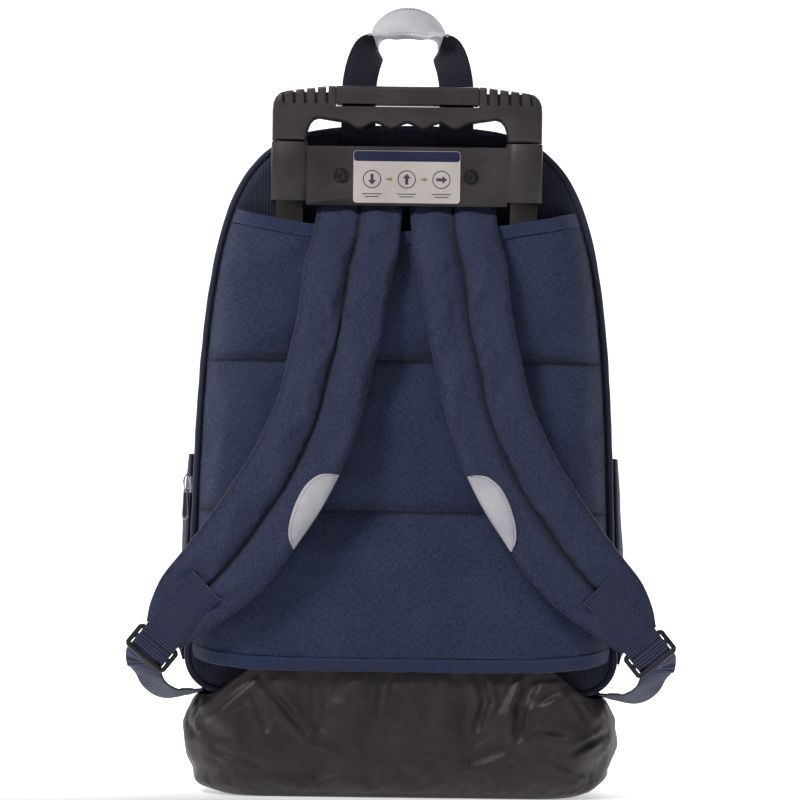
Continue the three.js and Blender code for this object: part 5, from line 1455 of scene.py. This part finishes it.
# %% Screws, slider and pull
SCREW_X, SCREW_Y, SCREW_Z = 46.8, -93.2, 448.75
SCREW_CAP = [
    # radius, depth
    (0.02, 0.75), (1.0, 0.75), (1.25, 0.6), (1.4, 0.12), (1.8, 0.0), (3.1, 0.02), (3.7, 0.12), (4.05, 0.4),
    (4.2, 0.8), (4.2, 1.2), (0.02, 1.2),
]
for label, side in SIDES.items():
    turns = np.linspace(0, 2 * math.pi, 33)
    centre = np.array([side * SCREW_X, SCREW_Y, SCREW_Z])
    grid = np.stack([[centre + np.array([r * math.cos(t), y, r * math.sin(t)]) for t in turns]
                     for r, y in SCREW_CAP])
    patch = (grid, grid[..., [0, 2]], False, True)
    bag_piece(f"screw_cap_{label}", [patch], screw_plastic, "moulding", f"screw_{label}", solid=True)

rounded("zip_slider", "slider_body", zip_steel, "steel", "bag", 1.1, 3)


def flat_piece(name, outlines, finish, slot, thickness, place, *nodes):
    """Flat outlines in mm, put in space by place, and given a thickness"""
    form = bmesh.new()
    for outline in outlines:
        form.faces.new([form.verts.new(Vector(place(*point)) * MM) for point in outline])
    mesh = bpy.data.meshes.new(name)
    form.to_mesh(mesh)
    form.free()
    piece = link_piece(name, mesh, finish, "bag", nodes)
    thicken(piece, thickness, 0)
    return piece


PULL_TURN = math.radians(52)
PULL_TOP = np.array([-158.6, -50.0, 221.0])
PULL_HALF, PULL_LONG, PULL_NECK, PULL_THICK = 3.1, 23, 1.9, 1.3


def on_pull(lift):
    side = np.array([math.sin(PULL_TURN), -math.cos(PULL_TURN), 0])
    face = np.array([-math.cos(PULL_TURN), -math.sin(PULL_TURN), 0])
    return lambda u, v: PULL_TOP + side * u + np.array([0, 0, v]) + face * lift


belly = PULL_HALF * 1.2 - PULL_LONG
pull_outline = [(-PULL_NECK, 0), (PULL_NECK, 0), (PULL_HALF, belly)]
pull_outline += [tuple(p) for p in corner_points((0, PULL_HALF - PULL_LONG), PULL_HALF, 0, -180, 9)]
pull_outline += [(-PULL_HALF, belly)]
pull = flat_piece("pull_tab", [pull_outline], zip_steel, "steel", PULL_THICK, on_pull(0), "zip_pull")
edge = pull.modifiers.new("edges", "BEVEL")
edge.width = 0.3 * MM
edge.segments = 2
inlay_outline = [(u * 0.55, v * 0.78 - 3) for u, v in pull_outline]
for name, lift in (("pull_inlay", 0.75), ("pull_inlay_back", -0.75)):
    flat_piece(name, [inlay_outline], dark_steel, "steel", 0.3, on_pull(lift))

HOOP_MIDDLE, HOOP_TURN = np.array([-158.0, -50.6, 225.5]), math.radians(30)
HOOP_WIDE, HOOP_TALL, HOOP_THICK = 2.3, 5.6, 0.65


def hoop_patch():
    side = np.array([math.cos(HOOP_TURN), math.sin(HOOP_TURN), 0])
    face = np.array([-math.sin(HOOP_TURN), math.cos(HOOP_TURN), 0])
    rows = []
    for t in np.linspace(0, 2 * math.pi, 41):
        out = side * math.cos(t) * HOOP_WIDE + np.array([0, 0, math.sin(t) * HOOP_TALL])
        way = out / np.linalg.norm(out)
        rows.append([HOOP_MIDDLE + out + HOOP_THICK * (way * math.cos(a) + face * math.sin(a))
                     for a in np.linspace(0, 2 * math.pi, 9)])
    grid = np.array(rows)
    return grid, grid[..., :2], True, True


bag_piece("slider_hoop", [hoop_patch()], zip_steel, "steel", solid=True)
print("screws, slider, hoop and pull")

# %% [markdown]
# The card is a sticker on the trolley plate, with rounded corners and a dark heading. Its marks are
# plain rings, arrows and bars, raised by a tenth of a millimetre, as thick ink would be.

# %% Card on the trolley plate
CARD_Y, CARD_X, CARD_LOW, CARD_HIGH = -94.0, 38.5, 429.4, 467.0
CARD_THICK, INK_THICK, INK_LIFT = 0.6, 0.08, 0.36
MARK_Z, RING_RADIUS, RING_THICK = 446.5, 6.6, 0.7
CARD_GRAIN = 0.01 * MM
card_paper = moulded("card_paper", "#dcd3d1", "#e8e0dd", 0.45, CARD_GRAIN)
card_navy = moulded("card_navy", "#20264a", "#2a3158", 0.4, CARD_GRAIN)
card_ink = moulded("card_ink", "#4b4750", "#5d5963", 0.5, CARD_GRAIN)
card_tint = moulded("card_tint", "#8fa05a", "#9fb06a", 0.5, CARD_GRAIN)


def on_card(lift):
    return lambda x, z: (x, CARD_Y - lift, z)


def rounded_box(x1, z1, x2, z2, radius):
    corners = [((x2 - radius, z1 + radius), -90), ((x2 - radius, z2 - radius), 0),
               ((x1 + radius, z2 - radius), 90), ((x1 + radius, z1 + radius), 180)]
    return [tuple(p) for centre, turn in corners for p in corner_points(centre, radius, turn, turn + 90, 6)]


def bar(x, z, half):
    return [(x - half, z), (x + half, z), (x + half, z + 0.6), (x - half, z + 0.6)]


def ring_mark(x, count=24):
    outer = corner_points((x, MARK_Z), RING_RADIUS, 0, 360, count + 1)
    inner = corner_points((x, MARK_Z), RING_RADIUS - RING_THICK, 0, 360, count + 1)
    return [[tuple(p) for p in (outer[i], outer[i + 1], inner[i + 1], inner[i])] for i in range(count)]


def arrow_mark(x, size, turn):
    shape = [(-0.15, -0.5), (0.15, -0.5), (0.15, 0.1), (0.4, 0.1), (0, 0.55), (-0.4, 0.1), (-0.15, 0.1)]
    c, s = math.cos(math.radians(turn)), math.sin(math.radians(turn))
    return [(x + size * (u * c - v * s), MARK_Z + size * (u * s + v * c)) for u, v in shape]


sheet = rounded_box(-CARD_X, CARD_LOW, CARD_X, CARD_HIGH, 2.5)
heading = rounded_box(-CARD_X + 0.3, CARD_HIGH - 7.6, CARD_X - 0.3, CARD_HIGH - 0.3, 2.2)
marks = []
for x, turn in ((-25, 180), (0, 0), (25, -90)):
    marks += ring_mark(x) + [arrow_mark(x, 7.5, turn), bar(x, 435.6, 7), bar(x, 433.6, 5)]
arrows = [arrow_mark(x, 4.6, -90) for x in (-12.5, 12.5)]
flat_piece("card", [sheet], card_paper, "label", CARD_THICK, on_card(0), "label")
for name, outlines, finish in (("card_heading", [heading], card_navy), ("card_marks", marks, card_ink),
                               ("card_arrows", arrows, card_tint)):
    flat_piece(name, outlines, finish, "label", INK_THICK, on_card(INK_LIFT))
print("card and its marks")

# %% [markdown]
# The last cell prints how large the dressed part is.

# %% Print the size
low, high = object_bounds()
print("size now:", [round(v, 4) for v in high - low])
